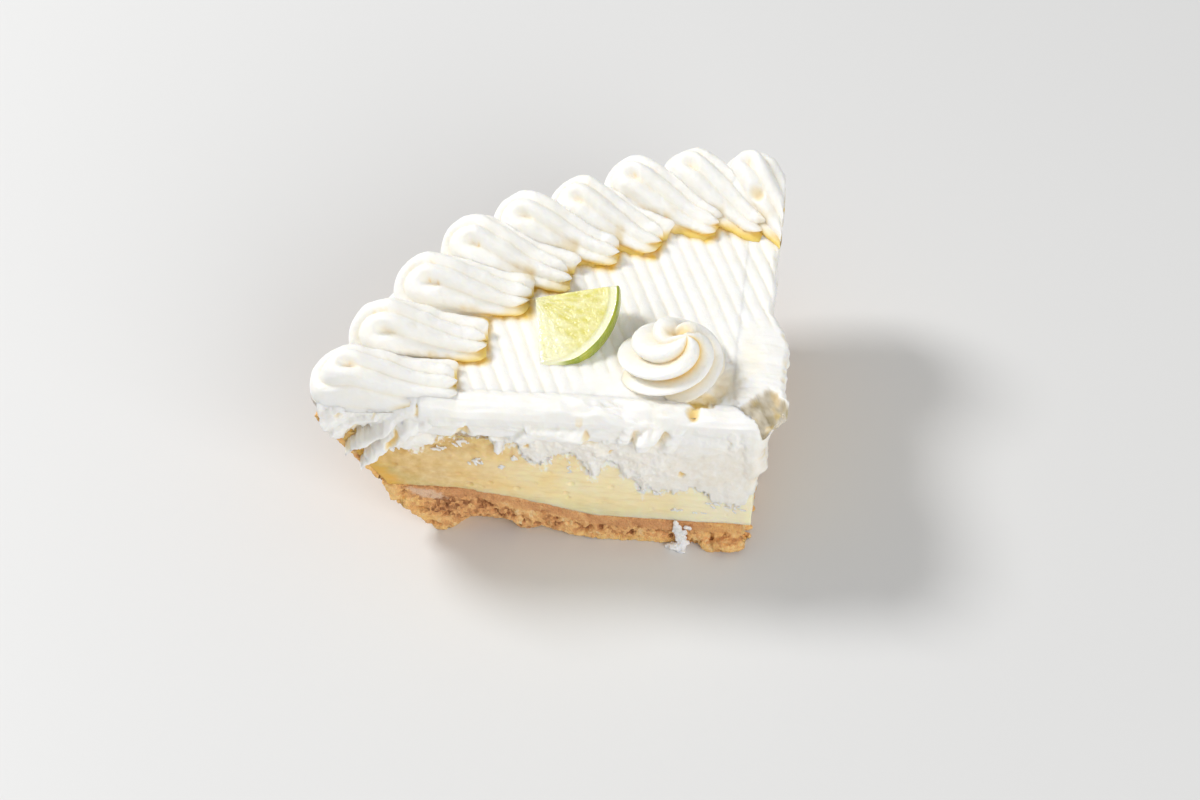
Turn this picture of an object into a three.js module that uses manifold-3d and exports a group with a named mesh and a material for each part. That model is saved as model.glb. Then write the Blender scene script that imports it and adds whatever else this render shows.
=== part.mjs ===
// A slice of key lime pie: a quarter of an 8 inch pie, in millimetres, +Z up.
// It is worked out round the whole pie's centre, with the front cut along X and the
// right cut close to Y, and is moved at the end so that its origin lies under its middle.

import * as THREE from 'three';
import { mergeVertices } from 'three/addons/utils/BufferGeometryUtils.js';
import Module from 'manifold-3d';

const wasm = await Module();
wasm.setup();

const { degToRad, lerp, smoothstep } = THREE.MathUtils;

// The whole pie
const gap = 0.3;              // left between pieces that touch
const turnSteps = 80;         // straight sides of the whole pie's circle
const wallOutline = [[77, 0], [83, 5.5], [88.8, 11.5], [91, 17.7], [97.5, 27.7], [106, 41]];
const rimHeight = 41;
const wallThickness = 1.8;
const crustFloor = [[0, 8.5], [35, 9], [48, 12.7], [68, 17], [84, 16.8]];
const fillingTop = [[0, 33.3], [35, 33.3], [50, 35], [66, 36]];
const fillingTopAtWall = 36;
const creamTop = 47;
const beyond = 118;           // further out than anything on the pie

// The two cuts
const frontCut = 11;          // the front cut's distance from the pie's centre
const tipX = 4.5;
const rightCutLean = 0.04;    // how far the right cut strays from Y, per mm

// The comb's grooves in the cream's top
const groovePitch = 3.4;
const grooveDepth = 0.9;
const grooveTurn = degToRad(20.5);
const grooveStart = -71;      // from the pie's centre, across the grooves
const grooveCount = 31;

// The piped shells, from the front cut round to the right cut. Each has the angle and
// radius of its head, its length, its slant away from the pie's centre, and how far round
// from the top the groove between its two rows of ridges lies, in degrees.
const shellRows = [
  { angle: 171.5, radius: 101.5, length: 29.5, slant: 17, groove: 14 },
  { angle: 160.7, radius: 98.6, length: 28.4, slant: 24, groove: 40 },
  { angle: 149.2, radius: 97.7, length: 29.2, slant: 33, groove: 36 },
  { angle: 138.2, radius: 98.5, length: 28.1, slant: 31, groove: 36 },
  { angle: 129, radius: 97.3, length: 28.2, slant: 40, groove: 30 },
  { angle: 119.6, radius: 94.9, length: 25.8, slant: 43, groove: 28 },
  { angle: 110, radius: 97.2, length: 27, slant: 51, groove: 22 },
  { angle: 100.7, radius: 98.1, length: 27.6, slant: 49, groove: 16 },
  { angle: 91.1, radius: 97.6, length: 26.2, slant: 39, groove: 10 },
];
const shellRidges = 8;
const ridgeSteps = 4;         // points round one ridge
const shellHalfWidth = 8.6;
const shellHeight = 13.4;
const shellOverhang = 6;      // how far a shell's back end lies outside its head
const shellSteps = 11;
const shellTwist = degToRad(32);
const ridgeDepth = 0.14;
const shellWidest = 0.36;     // the places below are shares of a shell's length
const shellEye = 0.28;        // where the ridges begin, at a dent on the head
const shellTail = 0.8;
const tailWidth = 0.74;       // shares of the full width and height, at the tail
const tailHeight = 0.33;

// The rosette by the tip
const rosette = { x: -18.3, y: 29.9, radius: 12, height: 12.4, peakX: 3.8, peakY: -2.4 };
const rosetteRidges = 6;
const rosetteRidgeSteps = 5;
const rosetteSteps = 13;
const rosetteTwist = degToRad(165);
const rosetteDepth = 0.15;

// The lime slice: the corners of its cut face, and its size
const limeApex = new THREE.Vector3(-53.8, 46.8, 52);
const limeRight = new THREE.Vector3(-32.7, 49, 56);
const limeBottom = new THREE.Vector3(-43.5, 27.2, 47.8);
const limeRadius = 21.2;
const limeThickness = 4.2;
const limeEdge = 0.4;
const limeRoundTo = degToRad(66);  // where the rind's curve ends, by the lower corner
const limeLowerSide = 0.91;   // the lower side's share of the radius

// Draws the same numbers on every run, from 0 up to 1
function seededRandom(seed) {
  let state = seed;
  return () => {
    state = (state * 16807) % 2147483647;
    return (state - 1) / 2147483646;
  };
}

// A smooth unevenness between about -1 and 1, for a place and the size of its bumps
function wobble(a, b, size) {
  const u = a / size;
  const v = b / size;
  const slow = Math.sin(1.7 * u + 0.9 * v) * Math.cos(1.3 * v - 0.4 * u);
  const quick = Math.sin(3.9 * u - 2.8 * v + 1.1) * Math.cos(3.1 * v + 2.3 * u);
  return 0.6 * slow + 0.4 * quick;
}

// The height or radius of an outline of [position, value] pairs at a position
function valueAt(outline, position) {
  const next = outline.findIndex(([start]) => start >= position);
  if (next === 0) return outline[0][1];
  if (next < 0) return outline.at(-1)[1];
  const [[startA, valueA], [startB, valueB]] = [outline[next - 1], outline[next]];
  return lerp(valueA, valueB, (position - startA) / (startB - startA));
}

// The crust wall's radius inside, at a height
function innerWall(height) {
  const radiusByHeight = wallOutline.map(([radius, level]) => [level, radius]);
  return valueAt(radiusByHeight, height) - wallThickness;
}

function rightCut(y) {
  return tipX + rightCutLean * (y - frontCut);
}

// Turns an outline of [radius, height] pairs round the pie's axis
function turned(outline) {
  const points = outline.map(([radius, height]) => new THREE.Vector2(radius, height));
  return new THREE.LatheGeometry(points, turnSteps).rotateX(Math.PI / 2);
}

// Makes a closed geometry into a solid that can be joined and cut
function solid(geometry) {
  const bare = new THREE.BufferGeometry();
  bare.setAttribute('position', geometry.attributes.position);
  bare.setIndex(geometry.index);
  const merged = mergeVertices(bare, 1e-4);
  const corners = merged.index.array;
  const kept = [];
  for (let i = 0; i < corners.length; i += 3) {
    const [a, b, c] = corners.slice(i, i + 3);
    if (a !== b && b !== c && c !== a) kept.push(a, b, c);
  }
  return new wasm.Manifold(new wasm.Mesh({
    numProp: 3,
    vertProperties: new Float32Array(merged.attributes.position.array),
    triVerts: new Uint32Array(kept),
  }));
}

// Moves every point of a geometry to where a function puts it
function reshaped(geometry, move) {
  const places = geometry.attributes.position;
  const point = new THREE.Vector3();
  for (let i = 0; i < places.count; i += 1) {
    point.fromBufferAttribute(places, i);
    const [x, y, z] = move(point.x, point.y, point.z);
    places.setXYZ(i, x, y, z);
  }
  return geometry;
}

// A block that holds the whole slice between two heights. Its front and right sides
// follow the functions given, so cutting with it gives uneven cut faces.
function wedge(front, right, low, high, columns, rows, levels) {
  const block = new THREE.BoxGeometry(1, 1, 1, columns, rows, levels);
  return solid(reshaped(block, (across, back, up) => {
    const z = lerp(low, high, up + 0.5);
    const nearX = lerp(-beyond, tipX, across + 0.5);
    const y = lerp(front(nearX, z), beyond, back + 0.5);
    return [lerp(-beyond, right(y, z), across + 0.5), y, z];
  }));
}

// A rounded lump
function lump(x, y, z, sizeX, sizeY, sizeZ, sides = 8) {
  const ball = new THREE.SphereGeometry(1, sides, sides / 2 + 1);
  return solid(ball.scale(sizeX, sizeY, sizeZ).translate(x, y, z));
}

// A finger that tapers from a round root to a thin tip
function finger(root, tip, rootRadius, tipRadius) {
  const along = new THREE.Vector3().subVectors(tip, root);
  const length = along.length();
  const outline = [
    new THREE.Vector2(0, -rootRadius),
    new THREE.Vector2(rootRadius, 0),
    new THREE.Vector2(lerp(rootRadius, tipRadius, 0.5), length * 0.6),
    new THREE.Vector2(tipRadius, length - tipRadius),
    new THREE.Vector2(0, length),
  ];
  const geometry = new THREE.LatheGeometry(outline, 8);
  const turn = new THREE.Quaternion();
  turn.setFromUnitVectors(new THREE.Vector3(0, 1, 0), along.normalize());
  geometry.applyQuaternion(turn);
  return solid(geometry.translate(root.x, root.y, root.z));
}

// The largest body of a solid, without loose scraps
function withoutScraps(body) {
  const bodies = body.decompose();
  return bodies.reduce((best, next) => (next.volume() > best.volume() ? next : best));
}

const slice = new THREE.Group();

function addPiece(name, body, colour, roughness) {
  const mesh = withoutScraps(body).getMesh();
  const geometry = new THREE.BufferGeometry();
  geometry.setAttribute('position', new THREE.BufferAttribute(mesh.vertProperties, 3));
  geometry.setIndex(new THREE.BufferAttribute(mesh.triVerts, 1));
  geometry.computeVertexNormals();
  const material = new THREE.MeshStandardMaterial({ color: colour, roughness, metalness: 0 });
  const piece = new THREE.Mesh(geometry, material);
  piece.name = name;
  slice.add(piece);
}

// The inside of the crust, from its floor up, made larger or smaller all round
function insideOutline(shrink, top) {
  const wallShrink = shrink * 1.3;
  return [
    ...crustFloor.map(([radius, height]) => [radius, height + shrink]),
    [innerWall(18.5) - wallShrink, 18.5],
    [innerWall(27.7) - wallShrink, 27.7],
    [innerWall(top) - wallShrink, top],
  ];
}

// Crumb crust: a thick floor and a thin flared wall, crumbling along its lower edges
function makeCrust() {
  const outside = turned([[0, 0], ...wallOutline, [105.4, rimHeight + 0.4], [0, rimHeight + 0.4]]);
  reshaped(outside, (x, y, z) => {
    const radius = Math.hypot(x, y);
    const rough = radius > 60 && z < rimHeight ? 1 + (0.5 * wobble(x + y, z * 2, 3)) / radius : 1;
    return [x * rough, y * rough, z];
  });
  const inside = turned([
    ...insideOutline(0, rimHeight),
    [innerWall(rimHeight), rimHeight + 1],
    [0, rimHeight + 1],
  ]);
  const crumblingFront = (x, z) => {
    const broken = Math.max(brokenAway(x) - 0.8 * z, 0);
    return frontCut + broken + 0.45 * wobble(x, z, 2.6);
  };
  const crumblingRight = (y, z) => rightCut(y) + 0.4 * wobble(y, z, 2.6);
  const block = wedge(crumblingFront, crumblingRight, -1, rimHeight + 2, 50, 34, 16);
  const crumbs = makeCrumbs();
  return solid(outside).subtract(solid(inside)).intersect(block).add(crumbs);
}

// How far the crust's lower front edge has crumbled back from the cut
function brokenAway(x) {
  const arch = smoothstep(-x, 33, 60) * (1 - smoothstep(-x, 67, 75));
  return 5.5 * arch - 2.4 * Math.exp(-(((x + 54) / 3) ** 2));
}

// Crumbs that cling to the crust's lower edge along both cuts
function makeCrumbs() {
  const random = seededRandom(41);
  const crumbs = [];
  const addCrumb = (x, y, size) => {
    const crumb = new THREE.IcosahedronGeometry(size, 0);
    crumb.rotateX(random() * Math.PI).rotateZ(random() * Math.PI);
    crumb.translate(x, y, size * (0.75 + 0.6 * random()));
    crumbs.push(solid(crumb));
  };
  for (let x = -77; x < tipX - 8; x += 2.2 + 2 * random()) {
    addCrumb(x, frontCut + 0.9 + Math.max(brokenAway(x), 0) + random(), 0.9 + random());
  }
  for (let y = frontCut + 4; y < 74; y += 3.5 + 3 * random()) {
    addCrumb(rightCut(y) - 0.9 - 0.4 * random(), y, 0.9 + random() * 0.7);
  }
  for (let x = tipX - 12; x < tipX - 2; x += 1.8) {
    const forward = 2.2 * Math.sin((Math.PI * (tipX - 1 - x)) / 12);
    addCrumb(x, frontCut + 0.5 - forward, 1.6 + random() * 0.7);
  }
  const floor = wedge(() => 0, () => beyond, 0, rimHeight, 1, 1, 1);
  return wasm.Manifold.union(crumbs).intersect(floor);
}

// Baked lime custard, which fills the crust up to the cream
function makeFilling() {
  const body = turned([
    ...insideOutline(gap, fillingTopAtWall),
    ...fillingTop.toReversed(),
  ]);
  const front = (x, z) => frontCut + 0.15 + 0.12 * wobble(x, z, 6);
  const right = (y, z) => rightCut(y) - 0.15 + 0.12 * wobble(y, z, 6);
  return solid(body).intersect(wedge(front, right, 0, creamTop, 24, 18, 6));
}

// The cream's own front side: a smeared ledge that stands out above a crease
function creamFront(x, z) {
  const ledgeSpan = smoothstep(x, -66, -56) * (1 - smoothstep(x, -20, -12));
  const ledge = 1.3 * ledgeSpan * smoothstep(z, 39.6, 41.4);
  const leftEnd = 1.4 * (1 - smoothstep(x, -82, -70)) * smoothstep(z, 34, 40);
  return frontCut - 0.6 - ledge - leftEnd + 0.4 * wobble(x, z, 4);
}

// The cream's right side, torn and bulging out a little behind the tip
function creamRight(y, z) {
  const span = smoothstep(y, frontCut, 19) * (1 - smoothstep(y, 37, 50));
  const bulge = 5.2 * span * smoothstep(z, 38, 45);
  return rightCut(y) + 0.9 + bulge + 0.6 * wobble(y, z, 3.4);
}

// How far down the smears of cream reach over the filling, along the front cut
const leftFringe = [[-101, 31], [-95, 30], [-87, 31.5], [-78, 33.2], [-62, 37]];
const rightFringe = [
  [-36, 32], [-26.7, 27], [-21, 21.5], [-14.1, 22], [-8.3, 22.5], [-0.8, 16.8], [3, 20], [6, 21],
];
const smearTop = 37.2;
const smearRoot = 39;

// A smear that the knife left on the front cut, thinning down to a ragged fringe
function makeFrontSmear(fringe, steps, fullThickness) {
  const left = fringe[0][0];
  const right = fringe.at(-1)[0];
  const sheet = new THREE.BoxGeometry(1, 1, 1, steps, 1, 5);
  return solid(reshaped(sheet, (across, back, up) => {
    const x = lerp(left, right, across + 0.5);
    const low = valueAt(fringe, x) + 0.9 * wobble(x, 0, 0.9);
    const level = up + 0.5;
    const z = level < 0.99 ? lerp(low, smearTop, level / 0.8) : smearRoot;
    const swell = (fullThickness - 0.25) * smoothstep(z, low, low + 8);
    const thickness = 0.25 + swell + 0.2 * wobble(x, z, 3);
    const inner = z > smearTop + 0.1 ? frontCut + 2 : frontCut - gap;
    return [x, back < 0 ? frontCut - gap - Math.max(thickness, 0.2) : inner, z];
  }));
}

// The same smear where it turns the corner onto the right cut
function makeRightSmear() {
  const sheet = new THREE.BoxGeometry(1, 1, 1, 1, 7, 5);
  return solid(reshaped(sheet, (across, back, up) => {
    const y = lerp(frontCut - gap - 0.3, frontCut + 13, back + 0.5);
    const low = lerp(19, 33, back + 0.5) + 0.8 * wobble(y, 1, 0.9);
    const level = up + 0.5;
    const z = level < 0.99 ? lerp(low, smearTop, level / 0.8) : smearRoot;
    const inner = z > smearTop + 0.1 ? rightCut(y) - 2 : rightCut(y) + gap;
    const corner = 1.2 * (1 - smoothstep(y, 16, 24)) * smoothstep(z, 27, 31);
    const smooth = 0.3 + corner + 0.6 * smoothstep(z, low, low + 8);
    const thickness = smooth + 0.3 * wobble(y, z, 2.5);
    return [across < 0 ? inner : rightCut(y) + gap + Math.max(thickness, 0.25), y, z];
  }));
}

// Fingers of cream dragged down and out at the front cut's left end
function makeFingers() {
  const front = frontCut - 1.6;
  const strokes = [
    { root: [-80, 44], tip: [-94.4, 28], size: 2.9 },
    { root: [-87, 41], tip: [-100.8, 29.2], size: 2.7 },
    { root: [-96, 41], tip: [-102.8, 34], size: 2.6 },
    { root: [-73.5, 39.5], tip: [-81.5, 33.8], size: 2.3 },
    { root: [-66, 41], tip: [-71, 35.6], size: 2 },
  ];
  const fingers = strokes.map(({ root, tip, size }) => finger(
    new THREE.Vector3(root[0], front + 0.6, root[1]),
    new THREE.Vector3(tip[0], front, tip[1]),
    size,
    0.6,
  ));
  return wasm.Manifold.union(fingers);
}

// The comb that is drawn across the cream's top
function makeComb() {
  const width = groovePitch * grooveCount;
  const outline = new THREE.Shape();
  outline.moveTo(0, grooveDepth * 3);
  for (let i = 0; i < grooveCount; i += 1) {
    outline.lineTo(i * groovePitch, 0);
    outline.lineTo((i + 0.5) * groovePitch, -grooveDepth);
  }
  outline.lineTo(width, 0);
  outline.lineTo(width, grooveDepth * 3);
  const comb = new THREE.ExtrudeGeometry(outline, { depth: 2 * beyond, bevelEnabled: false });
  comb.translate(grooveStart, 0, -beyond);
  comb.rotateX(Math.PI / 2);
  comb.rotateZ(grooveTurn);
  return solid(comb.translate(0, 0, creamTop));
}

// The bead that was pushed up along the front cut, as pairs of x and height
const beadRise = [[-69, 1.6], [-60, 2.1], [-45, 2.3], [-30, 2], [-22, 1.5], [-12, 0.9], [3, 0.6]];
const beadDepth = 4.8;
const beadSunk = 0.4;

function makeBead() {
  const strip = new THREE.BoxGeometry(1, 1, 1, 26, 5, 1);
  return solid(reshaped(strip, (across, back, up) => {
    const x = lerp(beadRise[0][0], beadRise.at(-1)[0], across + 0.5);
    const share = back + 0.5;
    const y = lerp(creamFront(x, creamTop) + gap, frontCut + beadDepth, share);
    const height = (valueAt(beadRise, x) + 0.3 * wobble(x, y, 5)) * Math.sin(Math.PI * share) ** 0.7;
    return [x, y, up < 0 ? creamTop - 3 : creamTop - beadSunk + height];
  }));
}

// The layer of whipped cream, with its smears and the pocket that the lime stands in
function makeCreamLayer(foundation) {
  const overRim = rimHeight + 0.4 + gap;
  const body = turned([
    ...fillingTop.map(([radius, height]) => [radius, height + gap]),
    [innerWall(fillingTopAtWall + gap) - gap * 1.3, fillingTopAtWall + gap],
    [innerWall(rimHeight) - gap * 1.3, rimHeight],
    [innerWall(rimHeight) - gap, overRim],
    [105.4, overRim + 0.2],
    [105, 44.5],
    [102.4, creamTop],
    [0, creamTop],
  ]);
  const block = wedge(creamFront, creamRight, 32, creamTop + 2, 42, 26, 7);
  const shoulder = lump(-90, frontCut + 1.6, creamTop - 3.4, 14, 3.4, 3.4, 14);
  const tornCorner = lump(10.5, frontCut + 5, creamTop + 2.8, 8.6, 6.6, 7.2, 12);
  const smears = makeFingers()
    .add(makeFrontSmear(leftFringe, 16, 1.6))
    .add(makeFrontSmear(rightFringe, 30, 0.9))
    .add(makeRightSmear());
  return solid(body)
    .intersect(block)
    .subtract(makeComb())
    .add(makeBead())
    .add(shoulder)
    .subtract(tornCorner)
    .add(smears.subtract(foundation))
    .subtract(makeLime(gap, 12));
}

// A shell's half width and height at a place along it, as shares of the full ones
function shellOutline(along) {
  const head = Math.sqrt(1 - (1 - Math.min(along / shellWidest, 1)) ** 2);
  const closing = Math.max(along - shellTail, 0) / (1 - shellTail);
  const round = head * Math.sqrt(1 - closing ** 3);
  return {
    width: round * lerp(1, tailWidth, smoothstep(along, 0.3, 0.95)),
    height: round * lerp(1, tailHeight, smoothstep(along, 0.2, 0.95)),
  };
}

// A piped shell: a fat head and a low tail, with ridges that run from a dent on the head
// to the tail, on both sides of a groove
function makeShell({ angle, radius, length, slant, groove }, grow) {
  const drop = new THREE.SphereGeometry(1, shellRidges * ridgeSteps, shellSteps);
  const heading = degToRad(angle + 180 + slant);
  const total = length + shellOverhang;
  reshaped(drop, (x, y, z) => {
    const along = (1 - y) / 2;
    const turn = Math.atan2(z, x);
    const fromGroove = turn - degToRad(90 + groove) - shellTwist * (along - shellEye);
    const ridge = -Math.cos(shellRidges * fromGroove) * smoothstep(along, 0.05, shellEye + 0.15);
    const { width, height } = shellOutline(along);
    const reach = 1 + ridgeDepth * ridge;
    const jag = 1 + 0.06 * ridge * smoothstep(along, 0.6, 1);
    return [
      along * total * jag - shellOverhang + lerp(-grow, grow, along),
      Math.cos(turn) * reach * width * (shellHalfWidth + grow),
      Math.sin(turn) * reach * height * (shellHeight + grow),
    ];
  });
  drop.rotateZ(heading);
  const headAngle = degToRad(angle);
  const headX = radius * Math.cos(headAngle);
  const headY = radius * Math.sin(headAngle);
  return solid(drop.translate(headX, headY, creamTop - 0.5));
}

// The row of shells, each cut to lie against the next one and on the cream
function makeShells() {
  const above = wedge(
    () => frontCut - 1.6,
    (y) => rightCut(y) + 1.4,
    creamTop + gap,
    creamTop + 30,
    1,
    1,
    1,
  );
  return shellRows.map((row, i) => {
    const shell = makeShell(row, 0).intersect(above);
    const next = shellRows[i + 1];
    return next ? shell.subtract(makeShell(next, gap + 0.05)) : shell;
  });
}

// The rosette, piped in one turn to a peak that leans forward
function makeRosette() {
  const dome = new THREE.SphereGeometry(1, rosetteRidges * rosetteRidgeSteps, rosetteSteps);
  dome.rotateX(Math.PI / 2);
  reshaped(dome, (x, y, z) => {
    const up = Math.max(z, 0);
    const outward = Math.hypot(x, y);
    const turn = Math.atan2(y, x);
    const ridge = Math.cos(rosetteRidges * (turn - rosetteTwist * up));
    const reach = rosette.radius * outward * (1 + rosetteDepth * ridge * outward);
    return [
      Math.cos(turn) * reach + rosette.peakX * up ** 2,
      Math.sin(turn) * reach + rosette.peakY * up ** 2,
      z > 0 ? rosette.height * (0.72 * up + 0.28 * up ** 4) : z * 3,
    ];
  });
  dome.translate(rosette.x, rosette.y, creamTop);
  const above = wedge(() => 0, () => beyond, creamTop + gap, creamTop + 30, 1, 1, 1);
  return solid(dome).intersect(above);
}

// The quarter slice of lime, made larger all round and taller where it is a cutter
function makeLime(grow, extraHeight) {
  const inset = limeEdge - grow;
  const radius = limeRadius - inset;
  const start = Math.asin(inset / radius);
  const quarter = new THREE.Shape();
  quarter.moveTo(inset, inset);
  quarter.lineTo(radius * Math.cos(start), radius * Math.sin(start));
  quarter.absarc(0, 0, radius, start, limeRoundTo, false);
  quarter.lineTo(inset, limeLowerSide * limeRadius - inset);
  quarter.closePath();
  const geometry = new THREE.ExtrudeGeometry(quarter, {
    depth: limeThickness - 2 * limeEdge + 2 * grow + extraHeight,
    bevelThickness: limeEdge,
    bevelSize: limeEdge,
    bevelSegments: 1,
    curveSegments: 12,
  });
  geometry.translate(0, 0, limeEdge - grow - extraHeight);
  const along = new THREE.Vector3().subVectors(limeRight, limeApex).normalize();
  const down = new THREE.Vector3().subVectors(limeBottom, limeApex).cross(along).negate();
  const forward = new THREE.Vector3().crossVectors(down.normalize(), along);
  geometry.applyMatrix4(new THREE.Matrix4().makeBasis(along, forward, down));
  return solid(geometry.translate(limeApex.x, limeApex.y, limeApex.z));
}

// Everything under the cream, a little larger, to keep the smears off it
function makeFoundation() {
  const reach = gap * 1.3;
  const outside = turned([
    [0, 0],
    ...wallOutline.map(([radius, height]) => [radius + reach, height]),
    [wallOutline.at(-1)[0], rimHeight + 0.4 + gap],
    [innerWall(rimHeight), rimHeight + 0.4 + gap],
    [innerWall(fillingTopAtWall), fillingTopAtWall + gap],
    ...fillingTop.toReversed().map(([radius, height]) => [radius, height + gap]),
  ]);
  const front = () => frontCut - gap - 0.1;
  const right = (y) => rightCut(y) + gap;
  return solid(outside).intersect(wedge(front, right, -1, rimHeight + 2, 1, 1, 1));
}

addPiece('crust', makeCrust(), '#b9814b', 0.85);
addPiece('filling', makeFilling(), '#f1dc9c', 0.45);
addPiece('cream_layer', makeCreamLayer(makeFoundation()), '#f6f1e4', 0.55);
makeShells().forEach((shell, i) => addPiece(`shell_${i + 1}`, shell, '#f9f5ea', 0.5));
addPiece('rosette', makeRosette(), '#f9f5ea', 0.5);
addPiece('lime_slice', makeLime(0, 0), '#e3e07a', 0.35);

// The origin lies on the base, under the middle of the slice
const bounds = new THREE.Box3().setFromObject(slice);
const middle = bounds.getCenter(new THREE.Vector3());
slice.position.set(-middle.x, -middle.y, -bounds.min.z);

export default slice;
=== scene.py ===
# A slice of key lime pie: crumb crust, custard, combed and smeared cream, nine piped
# shells, a rosette and a slice of lime. Pieces are shaped in millimetres round the whole
# pie's centre, as the solids are, and then moved into the frame in metres.
import math
import random

import bmesh
import bpy
from mathutils import Matrix, Vector, noise


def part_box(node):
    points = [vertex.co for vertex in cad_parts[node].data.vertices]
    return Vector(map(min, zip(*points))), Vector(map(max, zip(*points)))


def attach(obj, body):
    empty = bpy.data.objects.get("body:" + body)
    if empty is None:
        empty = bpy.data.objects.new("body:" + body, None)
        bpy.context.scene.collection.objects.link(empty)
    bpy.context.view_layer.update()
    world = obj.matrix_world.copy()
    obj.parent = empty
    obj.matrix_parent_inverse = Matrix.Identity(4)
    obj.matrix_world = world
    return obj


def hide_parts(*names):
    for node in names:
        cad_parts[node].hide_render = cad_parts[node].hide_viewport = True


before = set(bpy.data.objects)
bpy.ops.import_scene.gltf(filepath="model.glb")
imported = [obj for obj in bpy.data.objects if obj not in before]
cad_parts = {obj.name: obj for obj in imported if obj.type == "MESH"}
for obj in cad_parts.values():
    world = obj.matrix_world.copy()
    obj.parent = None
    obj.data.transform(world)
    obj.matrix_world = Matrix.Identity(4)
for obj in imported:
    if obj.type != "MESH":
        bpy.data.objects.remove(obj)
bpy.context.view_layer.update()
print("frame loaded")

# the whole pie's centre, found from the crust's rim
crustLow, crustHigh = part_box("crust")
rimRadius = 0.106
rimLeft = 0.10543  # how far left of the centre the rim ends, at the front cut
pieCentre = Vector((crustLow.x + rimLeft, crustHigh.y - rimRadius, 0))
pieToFrame = Matrix.Translation(pieCentre) @ Matrix.Scale(0.001, 4)

cuts = {
    "front": 11,  # the front cut's distance from the pie's centre
    "tipX": 4.5,
    "rightLean": 0.04,  # how far the right cut strays from Y, per mm
}
crustSizes = {
    "outline": [(77, 0), (83, 5.5), (88.8, 11.5), (91, 17.7), (97.5, 27.7), (106, 41)],
    "wall": 1.8,
    "rim": 41,
    "floor": [(0, 8.5), (35, 9), (48, 12.7), (68, 17), (84, 16.8)],
}
floorReach = crustSizes["floor"][-1][0]  # where the floor meets the wall
custardTop = [(0, 33.3), (35, 33.3), (50, 35), (66, 36)]
creamTop = 47


# small helpers
def mix(a, b, share):
    return a + (b - a) * share


def softStep(value, low, high):
    share = min(max((value - low) / (high - low), 0), 1)
    return share * share * (3 - 2 * share)


def hump(value, centre, width):
    return math.exp(-(((value - centre) / width) ** 2))


def valueAt(outline, position):
    if position <= outline[0][0]:
        return outline[0][1]
    for (startA, valueA), (startB, valueB) in zip(outline, outline[1:]):
        if position <= startB:
            return mix(valueA, valueB, (position - startA) / (startB - startA))
    return outline[-1][1]


def wallRadius(height):
    return valueAt([(z, r) for r, z in crustSizes["outline"]], height)


def rightCut(y):
    return cuts["tipX"] + cuts["rightLean"] * (y - cuts["front"])


def grain(x, y, z, size, octaves=2):
    return noise.fractal(Vector((x, y, z)) / size, 1.0, 2.0, octaves)


def softFloor(value, limit, softness):
    # keeps a value above a limit, rounding into it instead of stopping short
    if value > limit + softness:
        return value
    return limit + softness * math.exp((value - limit - softness) / softness)


def segmentDistance(px, pz, x0, z0, x1, z1):
    dx, dz = x1 - x0, z1 - z0
    along = ((px - x0) * dx + (pz - z0) * dz) / (dx * dx + dz * dz)
    along = min(max(along, 0), 1)
    return math.hypot(px - x0 - dx * along, pz - z0 - dz * along)


def strokesAt(rows, x, z):
    # the strokes that reach a place on the front cut: how far it lies from each one's
    # middle line, as a share of the half width, and the rest of that stroke's row
    for x0, z0, x1, z1, width, *values in rows:
        if min(x0, x1) - width < x < max(x0, x1) + width:
            share = segmentDistance(x, z, x0, z0, x1, z1) / width
            if share < 1:
                yield share, *values


def gridBlock(columns, rows, levels):
    # a unit block whose corners lie at 0 and 1, cut evenly along each side
    bm = bmesh.new()
    bmesh.ops.create_grid(bm, x_segments=columns, y_segments=rows, size=0.5)
    grown = bmesh.ops.extrude_face_region(bm, geom=bm.faces[:])["geom"]
    lid = [part for part in grown if isinstance(part, bmesh.types.BMVert)]
    bmesh.ops.translate(bm, verts=lid, vec=(0, 0, 1))
    uprights = [e for e in bm.edges if abs(e.verts[0].co.z - e.verts[1].co.z) > 0.5]
    bmesh.ops.subdivide_edges(bm, edges=uprights, cuts=levels - 1, use_grid_fill=True)
    bmesh.ops.translate(bm, verts=bm.verts, vec=(0.5, 0.5, 0))
    return bm


def closeHoles(bm):
    bmesh.ops.holes_fill(bm, edges=[e for e in bm.edges if e.is_boundary], sides=0)


def closeHidden(bm, isHidden):
    # swaps the dense faces that can't be seen for one plain face
    hidden = [f for f in bm.faces if isHidden(f.calc_center_median())]
    bmesh.ops.delete(bm, geom=hidden, context="FACES")
    closeHoles(bm)


def newLayers(bm, *names):
    # values on the vertices, which the materials read by name
    return [bm.verts.layers.float.new(name) for name in names]


def wedgePlace(u, v, radius, front, rightInset):
    # spreads a unit square over the slice's plan, out to a radius
    left = -math.sqrt(radius * radius - front * front)
    x = mix(left, cuts["tipX"], u)
    back = math.sqrt(max(radius * radius - x * x, front * front))
    y = mix(front, back, v)
    return mix(left, rightCut(y) - rightInset, u), y


mergeDistance = 0.001  # points closer than this, in millimetres, become one


def sortVertices(bm):
    # the operators leave the points in another order in each run, and merging depends on it
    ordered = sorted(bm.verts, key=lambda vert: vert.co[:])
    ranks = {vert: rank for rank, vert in enumerate(ordered)}
    bm.verts.sort(key=ranks.get)


def finishPiece(bm, name, nodes, materials):
    sortVertices(bm)
    bmesh.ops.remove_doubles(bm, verts=bm.verts, dist=mergeDistance)
    bmesh.ops.recalc_face_normals(bm, faces=bm.faces)
    bm.transform(pieToFrame)
    for face in bm.faces:
        face.smooth = True
    mesh = bpy.data.meshes.new(name)
    bm.to_mesh(mesh)
    bm.free()
    piece = bpy.data.objects.new(name, mesh)
    bpy.context.scene.collection.objects.link(piece)
    for material in materials:
        mesh.materials.append(material)
    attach(piece, "root")
    if nodes:
        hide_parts(*nodes)
    print(f"{name}: {len(mesh.polygons)} faces")
    return piece


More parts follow.
